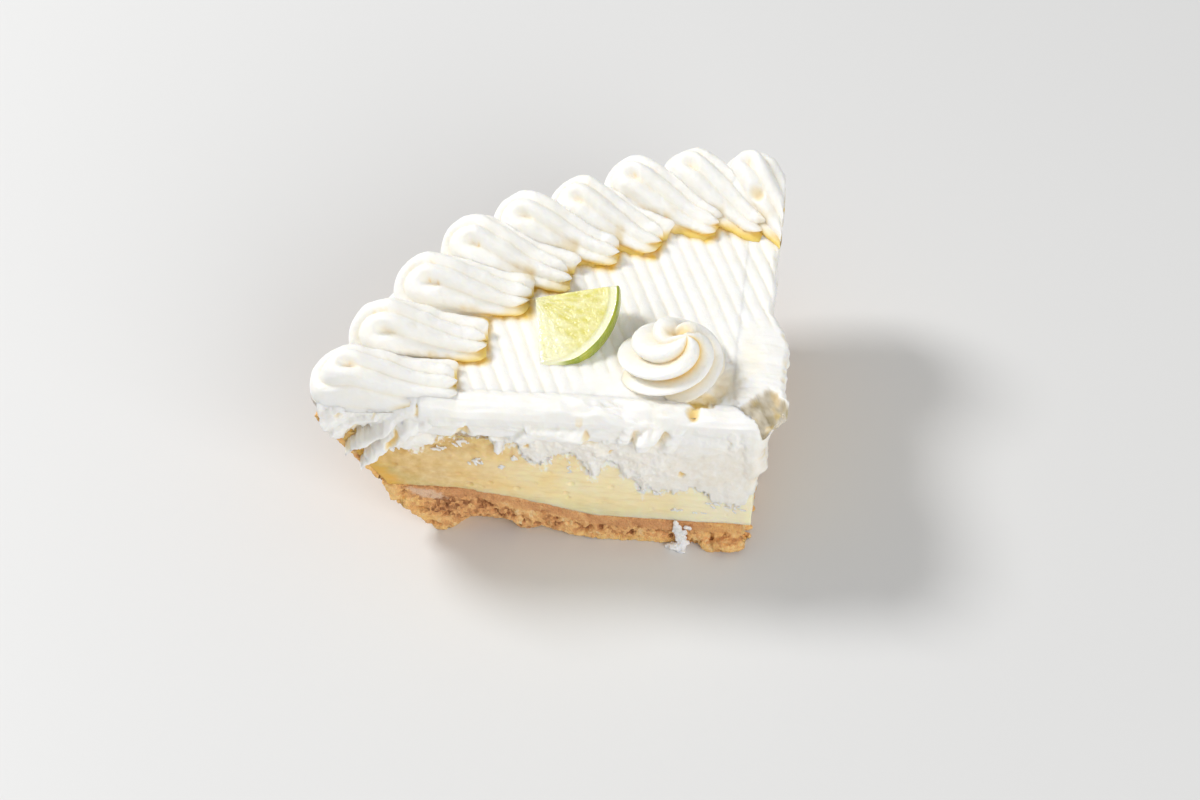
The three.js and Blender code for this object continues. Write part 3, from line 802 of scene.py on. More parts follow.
# the cream's two cut sides
skinShape = {
    "frontColumns": 330,
    "cornerColumns": 10,
    "rightColumns": 210,
    "faceRows": 104,
    "topRows": 34,
    "low": 14.5,
    "edge": 46.0,  # where the face turns over into the top
    "depth": 9.5,  # how far the top part reaches in over the comb
    "cornerRadius": 1.3,
    "buried": -1.6,  # how far it lies behind the cut where no cream shows
    "leftEnd": (-83, -72),  # where the dragged cream at the left end stops
    "towardTip": (-24, -14),  # where the smoother cream by the tip starts
    "ledge": (39.4, 40.8, 1.9),  # the overhang: its height, from and to, and its depth
    "bulge": 5.0,  # how far the torn part of the right cut stands out
    "lumps": (1.2, 2.6),  # height and size of the lumps on it
    "beadReach": 7.5,  # how far the beads along the edges reach in
    "rightBead": (0.1, 0.35),  # height of the right edge's bead, combed and smeared
    "swirl": (-27, 15, 2.3),  # the knife's swirl in the front bead: x, reach, height
    # lower edge of the cream on the front cut, as x and z
    "fringe": [
        (-104, 33), (-101.5, 31.5), (-99.5, 34), (-97, 36.5), (-94.5, 38.6), (-92, 39), (-90, 37.6),
        (-88, 35), (-86, 33.6), (-83, 33), (-80, 33.4), (-78, 35), (-76, 37), (-72, 38.6), (-68, 38.9),
        (-64, 38.3),
        (-61, 37), (-60.2, 33.2), (-58.8, 33), (-58, 36.5), (-55, 36.5), (-53.6, 31), (-51, 28.8),
        (-49.5, 30), (-48, 29.3), (-46, 32), (-44, 33.5), (-41.5, 33), (-39.5, 31), (-38, 29),
        (-36.6, 26.3), (-35, 26), (-33.6, 28.5), (-32, 30.2), (-30, 29.6), (-28.3, 25), (-27, 27.5),
        (-26, 26.5), (-24.5, 23.2), (-23.4, 21), (-21.5, 20.2), (-19, 20.6), (-17, 21.3),
        (-14, 21.2), (-10, 22), (-8.6, 20), (-7.4, 20.5), (-6, 18.4), (-4.6, 17.6), (-3, 18.3),
        (-1.8, 15.6), (0, 16.2), (1.5, 16), (3, 18.3), (4.5, 20.5),
    ],
    # the same on the right cut, as y and z
    "rightFringe": [
        (11, 20.5), (12.5, 22), (14, 20), (16, 25), (18, 24), (20, 29), (22, 32), (24, 34.5),
        (30, 35.6), (45, 35.2), (70, 36.2), (100, 37),
    ],
    # height of the bead that stands along the front edge, as x and mm
    "bead": [(-104, 3.2), (-86, 3.6), (-76, 3.0), (-70, 1.6), (-60, 2.1), (-45, 2.3), (-30, 2.0),
             (-22, 1.5), (-15, 0.9), (-5, 0.7), (5, 0.4)],
    # raised strokes on the front cut: ends as x, z, x, z, then half width and height
    "strokes": [
        (-81, 42, -87, 35.6, 2.2, 2.6), (-87, 35.6, -91.6, 30, 1.6, 3.0),
        (-91.6, 30, -94, 26.4, 0.9, 2.8), (-86.5, 41.5, -94, 35, 1.4, 2.8),
        (-94, 35, -100.8, 28.8, 1.0, 2.4), (-90, 43.5, -97, 39.5, 1.4, 1.0),
        (-86, 54, -90, 48, 1.3, 0.9),
        (-97, 40, -102, 34, 1.8, 1.0), (-99.5, 45, -103.5, 40, 2.0, 0.6),
        (-84, 34.4, -78, 36.2, 2.6, 1.2), (-79.4, 39, -77, 43, 1.5, 0.7),
        (-75.5, 40.5, -70, 42.5, 2.0, 0.6), (-74, 44.5, -69, 44, 2.2, 0.8),
        (-61, 38.6, -55.5, 38.9, 1.3, 1.3), (-56, 39.2, -50.5, 42.4, 1.6, 1.6),
        (-51, 43, -38.5, 42.6, 1.7, 1.6), (-59.5, 38, -59.5, 33.6, 1.3, 0.9),
        (-23.8, 41, -19.9, 45.8, 2.3, 2.2), (-28.4, 42.4, -26.9, 45.8, 1.2, 1.2),
        (-33, 41.4, -28.5, 41.3, 0.8, 0.7), (-17.6, 37.5, -14.2, 46.5, 2.0, 0.9),
        (-26.5, 27.5, -20, 30.5, 2.4, 0.45), (-9, 44.6, -4, 44.3, 2.2, 0.35),
        (-38, 38, -33, 34, 1.6, 0.4), (-36.4, 31, -35.4, 27, 0.9, 0.5), (-1.5, 44, -1, 39, 1.3, 0.4),
        (-13, 36.5, -6, 38.5, 3.0, 0.35), (2.6, 44, 3.6, 30, 1.8, 0.4),
    ],
    # creases and pits: ends, half width, depth, and how much painted warm shade fills them
    "creases": [
        (-54.5, 39.4, -46, 39.9, 1.3, 1.2, 0.15), (-64, 40.2, -54.5, 39.2, 1.0, 1.0, 0.12),
        (-46, 39.7, -38.5, 39.5, 1.1, 1.0, 0.12), (-38.6, 38.7, -30, 40.3, 0.8, 1.2, 0.35),
        (-20.6, 39.2, -18.5, 42.8, 1.3, 1.6, 0.4), (-26.2, 40.8, -25.1, 45, 1.1, 1.1, 0.3),
        (-79.2, 45.6, -78.9, 48, 0.9, 0.9, 0.6), (-68.2, 41.5, -67.6, 41.8, 1.9, 2.4, 0.75),
        (-84.2, 40.2, -86.6, 35, 1.1, 1.7, 0.8), (-93.2, 45.8, -92.7, 46.3, 0.9, 0.9, 0.4),
        (-96.9, 46.9, -96.6, 47.4, 0.8, 0.9, 0.35), (-99.2, 44.4, -98.8, 44.8, 1.0, 1.1, 0.35),
        (-90.2, 44.2, -89.9, 44.8, 0.6, 0.8, 0.35), (-37.6, 42.6, -37.3, 44, 0.8, 1.0, 0.5),
        (-39.4, 45.6, -39.2, 46, 0.7, 0.8, 0.35), (-14.3, 27.4, -14.1, 28.2, 0.9, 1.2, 0.8),
        (-94.5, 40.2, -98, 36.8, 0.8, 1.0, 0.35), (-96.5, 33.5, -100.5, 30.5, 0.7, 0.9, 0.4),
        (-16.8, 49.5, -18, 53, 1.4, 0.8, 0.35), (-52.6, 35, -52.2, 35.6, 0.9, 0.9, 0.8),
        (-56, 33.6, -55.8, 34.2, 0.6, 0.8, 0.8), (-31.7, 34.6, -31.4, 35.2, 0.6, 0.8, 0.8),
        (-74.5, 35, -73.5, 32.5, 1.2, 0.8, 0.6), (-63, 38, -62.9, 38.4, 0.7, 0.8, 0.6),
        (1.2, 49.5, 2.6, 48.6, 1.0, 0.9, 0.4), (-2.6, 41, -2, 40.6, 0.7, 0.5, 0.15),
    ],
    # loose flecks under the ragged edge: x, z, reach along x and z
    "flecks": [
        (-65.5, 27.6, 3.2, 1.4), (-59, 26.5, 1.8, 1.4), (-52.2, 30.6, 2.8, 2.6), (-48, 30.2, 1.9, 1.6),
        (-35.6, 27.6, 1.2, 2.4), (-42, 27, 1.2, 3.2),
        (-87, 31, 3.0, 1.2), (-74.5, 32.2, 2.4, 1.4), (-14.5, 13.2, 3.0, 0.3), (-9, 12.7, 2.8, 0.3),
        (-56, 29.8, 0.8, 1.0), (-23, 20.0, 1.6, 0.8),
        (-5, 16.4, 3.0, 1.6), (0.4, 15.2, 2.2, 1.2), (-20, 19.6, 2.4, 0.7), (-69.5, 34.5, 2.6, 1.6),
    ],
}


def skinCover(x, z):
    # above 0 where cream covers the front cut
    ragged = 2.0 * grain(x, 2, z * 0.4, 1.0, 3) + 1.4 * grain(x, 5, z * 0.3, 3.5, 2)
    return z - valueAt(skinShape["fringe"], x) + ragged


def frontRelief(x, z):
    # how far the cream stands out from the front cut, how much painted warm shade it gets, and how
    # thin it is
    cover = skinCover(x, z)
    fringe = valueAt(skinShape["fringe"], x)
    body = softStep(z, fringe, fringe + 7)
    left = 1 - softStep(x, *skinShape["leftEnd"])
    right = softStep(x, *skinShape["towardTip"])
    rough = mix(1.0, 0.35, right)
    depth = 0.3 + mix(0.2, 0.6, body) + 0.6 * left * body
    ledgeLow, ledgeHigh, ledgeDepth = skinShape["ledge"]
    ledge = (1 - right) * (1 - left) * softStep(z, ledgeLow, ledgeHigh)
    depth += ledgeDepth * ledge
    # torn cream, dragged down to the left at the slice's left end
    across, along = x * 0.75 - z * 0.66, x * 0.66 + z * 0.75
    dragged = 0.6 * grain(across, 1, along * 0.2, 2.6, 3) + 0.16 * grain(x, 1, z, 1.0, 2)
    torn = 0.5 * grain(x, 1, z, 2.6, 3) + 0.4 * abs(grain(x, 4, z, 1.2, 3))
    streaks = 0.85 * grain(x * 0.15, 1, z, 1.9, 3)
    torn = mix(mix(torn, dragged, left), streaks, ledge)
    depth += rough * torn + 0.25 * grain(x, 6, z * 0.5, 9, 2)
    smooth = 2.3 - 1.2 * right + 0.25 * grain(x, 6, 23, 9, 2)
    paintedWarmShade = raised = 0.0
    x, z = x + 0.8 * grain(x, 11, z, 2.2, 2), z + 0.8 * grain(x, 14, z, 2.2, 2)
    for share, height in strokesAt(skinShape["strokes"], x, z):
        raised = max(raised, height * (1 - share ** 3))
        cover = max(cover, 1.4 * (1 - share))
    depth += 1.25 * raised
    # the creases and pits are filled with painted warm shade
    for share, height, paintedShadeShare in strokesAt(skinShape["creases"], x, z):
        pit = (1 - share ** 2) ** 1.5
        depth -= height * pit
        paintedWarmShade = max(paintedWarmShade, paintedShadeShare * pit)
    shown = softStep(cover, 0, 0.3)
    depth = mix(depth, smooth, softStep(z, 43.6, 46) * (1 - left))
    depth = mix(skinShape["buried"], max(depth, 0.2), shown)
    smear = softStep(x, -26, -14) * (1 - softStep(z, 33, 38)) * softStep(z, 19, 26) * 0.3
    # thin cream over the custard along the ragged edge; over the rest of the face lies a painted warm
    # shade, darker toward the left and left off the raised strokes so that they look lit
    edge = (1 - softStep(cover, 0.5, 4)) * (0.25 + 0.8 * grain(x, 12, z, 1.8, 3)) * (1 - right)
    onStroke = min(raised, 1)
    edgeAndPaintedShade = max(edge, 0.2 + 0.1 * left) * (1 - onStroke)
    thin = max(1 - softStep(cover, -0.1, 0.1), edgeAndPaintedShade, smear)
    if z > 38.5:
        thin *= 1 - softStep(z, 38.5, 40)
    return depth, paintedWarmShade, thin


def rightRelief(y, z):
    fringe = valueAt(skinShape["rightFringe"], y)
    ragged = 1.2 * grain(4, y, z * 0.5, 1.4, 3)
    cover = z - fringe + ragged
    span = softStep(y, cuts["front"], 19) * (1 - softStep(y, 39, 52))
    bulge = skinShape["bulge"] * span * softStep(z, 38, 45)
    bulge += 1.5 * (1 - softStep(y, 16, 24)) * softStep(z, 27, 31)
    height, size = skinShape["lumps"]
    lumps = height * (0.4 - noise.voronoi(Vector((1, y, z)) / size)[0][0]) * softStep(z, 30, 40) * span
    torn = 0.8 * grain(2, y * 0.8, z, 3.4, 4) + 0.3 * abs(grain(6, y, z, 1.4, 2)) + lumps
    depth = 0.35 + 0.55 * softStep(z, fringe, fringe + 6) + bulge + torn
    shown = softStep(cover, 0, 0.35)
    # painted warm shade in the torn cut's recesses
    hollowAndPaintedShade = 0.3 * softStep(-torn, 0.1, 0.5)
    # the thin edge's tint, and painted warm shade on the cut's lower part
    thin = max(1 - shown, 0.4 * (1 - softStep(cover, 0, 2.2)), 0.3 * (1 - softStep(z, 41, 45)))
    return mix(skinShape["buried"], max(depth, 0.15), shown), hollowAndPaintedShade, thin


def skinPath(share):
    # a place on the cuts, from the front's left end round the corner to the back
    sizes = skinShape
    total = sizes["frontColumns"] + sizes["cornerColumns"] + sizes["rightColumns"]
    step = share * total
    radius = sizes["cornerRadius"]
    cornerX, cornerY = cuts["tipX"] - radius, cuts["front"] + radius
    if step <= sizes["frontColumns"]:
        return "front", step / sizes["frontColumns"], cornerX, cornerY
    step -= sizes["frontColumns"]
    if step <= sizes["cornerColumns"]:
        return "corner", step / sizes["cornerColumns"], cornerX, cornerY
    return "right", (step - sizes["cornerColumns"]) / sizes["rightColumns"], cornerX, cornerY


def skinBase(share, z):
    # the plan place, the outward direction, and the relief there
    part, along, cornerX, cornerY = skinPath(share)
    if part == "front":
        outer = wallRadius(z) if z < crustSizes["rim"] else 105.2
        left = -math.sqrt(outer * outer - cuts["front"] ** 2) + mix(1.6, 0.6, softStep(z, 41, 43.5))
        x = mix(left, cornerX, along)
        return Vector((x, cuts["front"], 0)), Vector((0, -1, 0)), frontRelief(x, z)
    if part == "corner":
        turn = along * math.pi / 2
        out = Vector((math.sin(turn), -math.cos(turn), 0))
        base = Vector((cornerX, cornerY, 0)) + out * skinShape["cornerRadius"]
        front, right = frontRelief(base.x, z), rightRelief(base.y, z)
        return base, out, tuple(mix(a, b, along) for a, b in zip(front, right))
    outer = (wallRadius(z) if z < crustSizes["rim"] else 104.8) - 0.8
    y = mix(cornerY, math.sqrt(outer * outer - 64), along)
    return Vector((rightCut(y), y, 0)), Vector((1, -cuts["rightLean"], 0)), rightRelief(y, z)


def topHeight(place):
    # the cream's top near the cuts: a bead along each edge, sinking into the combed layer
    x, y = place.x, place.y
    edge = skinShape["edge"]
    insideFront = y - cuts["front"]
    insideRight = rightCut(y) - x
    outFront = max(frontRelief(x, edge)[0], 0)
    outRight = max(rightRelief(y, edge)[0], 0) if insideRight < 12 else 0
    near = min(insideFront, insideRight)
    smeared = 1 - softStep(y, *combShape["smearedTo"])
    ground, hollowAndPaintedShade = combHeight(x, y)
    bead = valueAt(skinShape["bead"], x) + 0.5 * grain(x, 1, 1, 11, 2)
    reach = skinShape["beadReach"]
    shareFront = min(max((insideFront + outFront) / (reach + outFront), 0), 1)
    shareRight = min(max((insideRight + outRight) / (reach + outRight), 0), 1)
    rise = bead * math.sin(math.pi * shareFront) ** 0.8
    rightBead = mix(*skinShape["rightBead"], smeared) + 0.3 * smeared * grain(1, y, 1, 5, 2)
    rise = max(rise, rightBead * math.sin(math.pi * shareRight) ** 1.6)
    swirl = 0.5 * grain(x * 0.12, y, 3, 1.9, 3)
    swirlX, swirlReach, swirlHeight = skinShape["swirl"]
    swirl += swirlHeight * hump(x, swirlX, swirlReach) * grain(x * 0.45, y + 0.2 * x, 9, 2.6, 2)
    rise += smeared * swirl * (1 - softStep(near, 3, 7))
    byFront = 1 - softStep(insideFront, 6, 11)
    sunk = mix(0.32 * softStep(near, 4.5, 9.5), 0.6 * softStep(near, 2.5, 9), byFront)
    return ground + 0.15 + rise - sunk, hollowAndPaintedShade


def makeCreamSkin(material):
    sizes = skinShape
    columns = sizes["frontColumns"] + sizes["cornerColumns"] + sizes["rightColumns"]
    rows = sizes["faceRows"] + sizes["topRows"]
    bm = bmesh.new()
    bmesh.ops.create_grid(bm, x_segments=columns, y_segments=rows, size=0.5)
    hollowAndPaintedShade, thinness, shaded = newLayers(bm, "hollowAndPaintedShade", "thin", "shaded")
    faceShare = sizes["faceRows"] / rows
    lowEdges = [e for e in bm.edges if all(v.co.y < -0.4999 for v in e.verts)]
    topEdges = [e for e in bm.edges if all(v.co.y > 0.4999 for v in e.verts)]
    for vert in bm.verts:
        share, up = vert.co.x + 0.5, vert.co.y + 0.5
        part, _, cornerX, cornerY = skinPath(share)
        z = mix(sizes["low"], sizes["edge"], min(up / faceShare, 1))
        base, out, (depth, paintedWarmShade, thin) = skinBase(share, z)
        if up < 0.001:
            depth = sizes["buried"]
        over = max(up - faceShare, 0) / (1 - faceShare)
        if over > 0:
            fromCorner = {"front": cornerX - base.x, "right": base.y - cornerY}.get(part, 0)
            reach = min(sizes["depth"], sizes["cornerRadius"] + 0.5 + fromCorner)
            inward = (reach + max(depth, 0)) * (0.35 * over + 0.65 * over * over)
            place = base + out * (depth - inward)
            top, topPaintedShade = topHeight(place)
            z = mix(z, top, softStep(inward, -0.6, 1.3))
            paintedWarmShade = mix(paintedWarmShade, topPaintedShade, softStep(inward, 0, 1.5))
            thin = 0
        else:
            place = base + out * depth
        place = Vector((place.x, place.y, z))
        vert.co, torn = scooped(place)
        # the torn corner gets painted warm shade, a painted tan and painted shade
        vert[hollowAndPaintedShade] = max(paintedWarmShade, 0.3 * torn * softStep(grain(*place, 3, 2), 0.1, 0.4))
        vert[thinness] = max(thin, 0.4 * torn)
        vert[shaded] = min(max(torn * (0.62 + 0.5 * grain(*place, 2.5, 3)), 0), 1)
    bmesh.ops.bridge_loops(bm, edges=lowEdges + topEdges)
    closeHoles(bm)
    return finishPiece(bm, "smearedCream", ["cream_layer"], [material])


# piped shells
shellShape = {
    # angle and radius of the head, length, slant from the pie's centre, and how far round
    # from the top the ridges' eye lies, in degrees
    "rows": [
        (171.5, 101.5, 29.5, 17, 14), (160.7, 98.6, 28.4, 24, 40), (149.2, 97.7, 29.2, 33, 36),
        (138.2, 98.5, 28.1, 31, 36), (129, 97.3, 28.2, 40, 30), (119.6, 94.9, 25.8, 43, 28),
        (110, 97.2, 27, 51, 22), (100.7, 98.1, 27.6, 49, 16), (91.1, 97.6, 26.2, 39, 10),
    ],
    "around": 192,
    "rings": 150,
    "halfWidth": 8.6,
    "height": 13.4,
    "overhang": 6,
    "dimple": (9, Vector((1.4, 85.9, 55)), 3.0),  # shell, middle and size
    "ridges": 4,  # on each side of the eye
    "relief": 2.1,  # from the bottom of a groove to the top of a ridge, mm
    "twist": 0.55,
    "eyeAlong": 0.28,  # the eye's place, as a share of the length
    "eyeDepth": 0.9,
    "jag": 2.0,  # how far the ridges' ends stand out at the tail
    "unevenJag": 3.4,  # how far that differs from ridge to ridge
    "strength": (0.6, 0.95),  # of the relief, on the tail and on the head
    "headEnd": 0.36,  # where the round head stops, as a share of the length
    "tailStart": 0.87,  # where the tail starts to close
    "tailWidth": 0.86,  # at the tail, as a share of the full width and height
    "tailHeight": 0.33,
    "ripple": (0.12, 0.45),  # height of the fine and of the broad unevenness
}


def shellOutline(along):
    # the share of the full width and height at a place between head and tail
    sizes = shellShape
    closing = (along - sizes["tailStart"]) / (1 - sizes["tailStart"])
    head = math.sqrt(1 - (1 - min(along / sizes["headEnd"], 1)) ** 2)
    tail = math.sqrt(1 - min(max(closing, 0), 1) ** 4)
    width = mix(1, sizes["tailWidth"], softStep(along, 0.3, 0.95))
    height = mix(1, sizes["tailHeight"], softStep(along, 0.2, 0.95))
    return head * tail * width, head * tail * height


def ridgeAt(sphere, along, eyeTurn):
    # ridges run up from the tail and hook round an eye on the head: the number of ridges
    # counted away from the eye's groove, the side of it, and the distance from the eye
    eyeAlong = shellShape["eyeAlong"]
    eyeAxis = 1 - 2 * eyeAlong
    eyeRing = math.sqrt(1 - eyeAxis * eyeAxis)
    turn = math.atan2(sphere.y, sphere.x) - eyeTurn
    turn = math.remainder(turn - shellShape["twist"] * max(along - eyeAlong, 0), 2 * math.pi)
    cosine = math.hypot(sphere.x, sphere.y) * eyeRing * math.cos(turn) + sphere.z * eyeAxis
    fromEye = math.acos(min(max(cosine, -1), 1))
    sideways = 2 * math.asin(eyeRing * abs(math.sin(turn / 2)))
    away = sideways if along > eyeAlong else fromEye
    return away * shellShape["ridges"] / (2 * math.asin(eyeRing)), turn, fromEye


def makeShell(number, row, material):
    sizes = shellShape
    angle, radius, length, slant, eyeTurn = row
    bm = bmesh.new()
    bmesh.ops.create_uvsphere(bm, u_segments=sizes["around"], v_segments=sizes["rings"], radius=1)
    hollowAndPaintedShade, shaded = newLayers(bm, "hollowAndPaintedShade", "shaded")
    heading = Matrix.Rotation(math.radians(angle + 180 + slant), 3, "Z")
    headAngle = math.radians(angle)
    head = Vector((radius * math.cos(headAngle), radius * math.sin(headAngle), creamTop - 0.5))
    total = length + sizes["overhang"]
    fine, broad = sizes["ripple"]
    for vert in bm.verts:
        sphere = vert.co.copy()
        along = (1 - sphere.z) / 2
        flat = Vector((sphere.x, sphere.y))
        aim = flat.normalized() if flat.length > 0 else flat
        width, height = shellOutline(along)
        width *= sizes["halfWidth"]
        height *= sizes["height"]
        count, side, fromEye = ridgeAt(sphere, along, math.radians(90 + eyeTurn))
        lobe = abs(math.sin(math.pi * count)) ** 1.15
        onHead = 1 - softStep(along, 0.18, 0.5)
        strength = mix(*sizes["strength"], onHead) * (1 - 0.2 * onHead * softStep(count, 2.2, 3))
        strength *= 1 - 0.3 * softStep(along, 0.75, 0.95)
        relief = sizes["relief"] * (lobe - 0.6) * strength
        relief -= sizes["eyeDepth"] * (1 - softStep(fromEye, 0.04, 0.2))
        relief *= 1 - softStep(along, 0.975, 1)
        ridge = int(count) * (1 if side > 0 else -1)
        own = noise.noise(Vector((ridge * 3.7, number * 5.3, 0.4)))
        corner = 1 - abs(2 * (count % 1) - 1)
        jag = sizes["jag"] * (corner - 0.5) + sizes["unevenJag"] * own
        jag *= softStep(along, 0.72, 0.92) * (1 - 0.6 * softStep(along, 0.97, 1))
        place = Vector((along * total - sizes["overhang"] + jag, aim.x * width, aim.y * height))
        out = Vector((-sphere.z * 0.25, aim.x, aim.y * 1.1)).normalized()
        place = heading @ (place + out * relief) + head
        ripple = fine * grain(*place, 1.1, 2) + broad * grain(place.x, place.y, number, 5, 2)
        place += heading @ out * ripple
        if number == 1:
            place.y = softFloor(place.y, cuts["front"] - 2.2, 2.4)
        if number == 9:
            limit = rightCut(place.y) + 1.3 + 0.4 * grain(*place, 3, 2)
            place.x = -softFloor(-place.x, -limit, 1.0)
        place.z = max(place.z, creamTop - 1.4)
        dimpled, spot, size = sizes["dimple"]
        pit = 1 - softStep((place - spot).length, 0.2 * size, size) if number == dimpled else 0
        place -= heading @ out * 1.5 * pit
        vert.co = place
        # painted warm shade along the foot near the tail, in the grooves, the eye's slit, the hook and
        # the dimple
        low = 1 - softStep(place.z, creamTop + 0.2, creamTop + 2.4)
        groove = (1 - lobe) ** 3
        slit = (1 - softStep(count, 0, 0.25)) * (1 - softStep(fromEye, 0.08, 0.3))
        bend = (1 - softStep(abs(count - 1), 0, 0.25)) * hump(side, -0.9, 0.4) * onHead
        spots = softStep(noise.noise(Vector((place.x, place.y, number)) / 1.3), 0.2, 0.5)
        paintedWarmShade = max(0.1 * groove, 0.22 * slit, 0.7 * slit * spots, 0.45 * bend * spots, 0.5 * pit)
        # painted shade and painted warm shade in the pockets against the neighbouring shells
        pocket = tailShadow(place.x, place.y, number) ** 2
        pocket *= 1 - softStep(place.z, creamTop + 3, creamTop + 6.5)
        vert[shaded] = 0.4 * pocket
        vert[hollowAndPaintedShade] = max(paintedWarmShade, 0.95 * low * softStep(along, 0.5, 0.75), 0.35 * pocket)
    return finishPiece(bm, f"pipedShell{number}", [f"shell_{number}"], [material])


# rosette
rosetteShape = {
    "middle": Vector((-17.9, 29.9, creamTop)),
    "radius": 11.6,
    "height": 13.1,
    "peak": Vector((3.8, -2.4, 0)),  # which way the peak leans
    "ridges": 5,
    "twist": math.radians(172),
    "depth": 0.22,
    # the open hollow behind the peak and the lip beyond it: the way from the middle and
    # its width, in radians, the share of the radius and its width, and the height, mm
    "hollowAndPaintedShade": (math.radians(115), 0.9, 0.3, 0.16, -2.6),
    "lip": (math.radians(122), 0.75, 0.66, 0.2, 1.7),
    "arms": 2.4,  # how far the arms stand up from the dome
    "rows": (240, 220),  # of faces, round it and up it
}


def rosetteHump(name, turn, outward):
    # one of the rosette's two humps at a place: its share and its height
    way, width, share, reach, height = rosetteShape[name]
    here = hump(turn, way, width) * hump(outward, share, reach)
    return here, here * height


def makeRosette(material):
    sizes = rosetteShape
    bm = bmesh.new()
    around, rings = sizes["rows"]
    bmesh.ops.create_uvsphere(bm, u_segments=around, v_segments=rings, radius=1)
    [hollowAndPaintedShade] = newLayers(bm, "hollowAndPaintedShade")
    for vert in bm.verts:
        x, y, z = vert.co
        up = max(z, 0)
        outward = math.hypot(x, y)
        turn = math.atan2(y, x)
        phase = turn - sizes["twist"] * up
        lobe = abs(math.cos(sizes["ridges"] / 2 * phase)) ** 0.85
        own = 0.05 * noise.noise(Vector((math.cos(phase) * 2, math.sin(phase) * 2, 7)))
        reach = sizes["radius"] * outward
        reach *= 1 + (sizes["depth"] * (lobe * 2 - 1.25) + own) * outward
        lift = sizes["height"] * (0.7 * up + 0.3 * up ** 4)
        lift += sizes["arms"] * (lobe - 0.7) * outward * up ** 0.7
        behind, drop = rosetteHump("hollowAndPaintedShade", turn, outward)
        lift += drop + rosetteHump("lip", turn, outward)[1]
        behind *= z > 0
        place = Vector((math.cos(turn) * reach, math.sin(turn) * reach, lift if z > 0 else z * 1.2))
        place += sizes["peak"] * up * up + sizes["middle"]
        place += Vector((x, y, z)) * 0.12 * grain(*place, 1.2, 2)
        vert.co = place
        # painted warm shade at the foot, in the creases, stronger on the side turned from the key
        # light, and in the hollow behind the peak
        low = 1 - softStep(place.z, creamTop + 0.2, creamTop + 2)
        shaded = softStep(math.cos(turn - math.radians(-40)), -0.2, 0.8)
        crease = (1 - lobe) ** 1.6 * mix(0.25, 0.95, shaded)
        vert[hollowAndPaintedShade] = min(max(crease, 0.8 * behind, 0.3 * low), 1)
    return finishPiece(bm, "creamRosette", ["rosette"], [material])


# lime
limeShape = {
    "apex": Vector((-53.8, 46.8, 52)),
    "right": Vector((-32.7, 49, 56)),
    "bottom": Vector((-43.5, 27.2, 47.8)),
    "shift": Vector((0.6, -0.8, 0)),
    "radius": 21.5,
    "thickness": 4.2,
    "pith": 2.4,
    "spokes": 90,
    "rings": 96,
    "membranes": [90],  # angles of the walls between the segments, from the right edge
    "edge": 0.6,  # how far the rind's edges are rounded
    "narrowed": 0.09,  # how much shorter the radius is at the lower corner, as a share
    "sacs": 0.35,  # height of the juice sacs' relief
}


limeLook = {
    "flesh": [(0.71, 0.65, 0.13), (0.78, 0.72, 0.26)],
    "drops": (0.95, 0.93, 0.62),  # the juice sacs' lighter middles
    "pale": (0.91, 0.90, 0.64),
    "rind": [(0.27, 0.34, 0.025), (0.46, 0.48, 0.04)],
    "rindEnd": (0.90, 0.90, 0.62),
    "roughness": (0.22, 0.3),  # of the flesh and of the rind
    "fleshGlow": (0.5, (0.9, 1, 0.3), 0.003),
    "rindGlow": (0.1, (0.5, 1, 0.2), 0.001),
}


def limeMaterials():
    look = limeLook
    wet, waxy = look["roughness"]
    flesh, tree, shader = startMaterial("limeFlesh", look["flesh"][0], wet, look["fleshGlow"])
    place = objectPlace(tree)
    attribute = tree.nodes.new("ShaderNodeAttribute")
    attribute.attribute_name = "spoke"
    drops = cellsOf(tree, attribute.outputs["Vector"], 1, "Distance")
    cloud = remapped(tree, noiseOf(tree, place, 3, 3), 0.35, 0.65)
    colour = blended(tree, cloud, *look["flesh"])
    colour = blended(tree, remapped(tree, drops, 0.2, 0.9, 0, 0.6), colour, look["drops"])
    colour = blended(tree, valueOf(tree, "pale"), colour, look["pale"])
    tree.links.new(colour, shader.inputs["Base Color"])
    bumpy(tree, shader, combined(tree, drops, noiseOf(tree, place, 0.6, 2)), 0.2)
    shader.inputs["Coat Weight"].default_value = 0.3

    rind, tree, shader = startMaterial("limeRind", look["rind"][0], waxy, look["rindGlow"])
    place = objectPlace(tree)
    patches = remapped(tree, noiseOf(tree, place, 4, 3), 0.3, 0.7)
    colour = blended(tree, patches, *look["rind"])
    colour = blended(tree, valueOf(tree, "pale"), colour, look["rindEnd"])
    tree.links.new(colour, shader.inputs["Base Color"])
    pores = cellsOf(tree, place, 0.8, "Distance")
    bumpy(tree, shader, pores, 0.18)
    shader.inputs["Coat Weight"].default_value = 0.5
    shader.inputs["Coat Roughness"].default_value = 0.15
    return [flesh, rind]


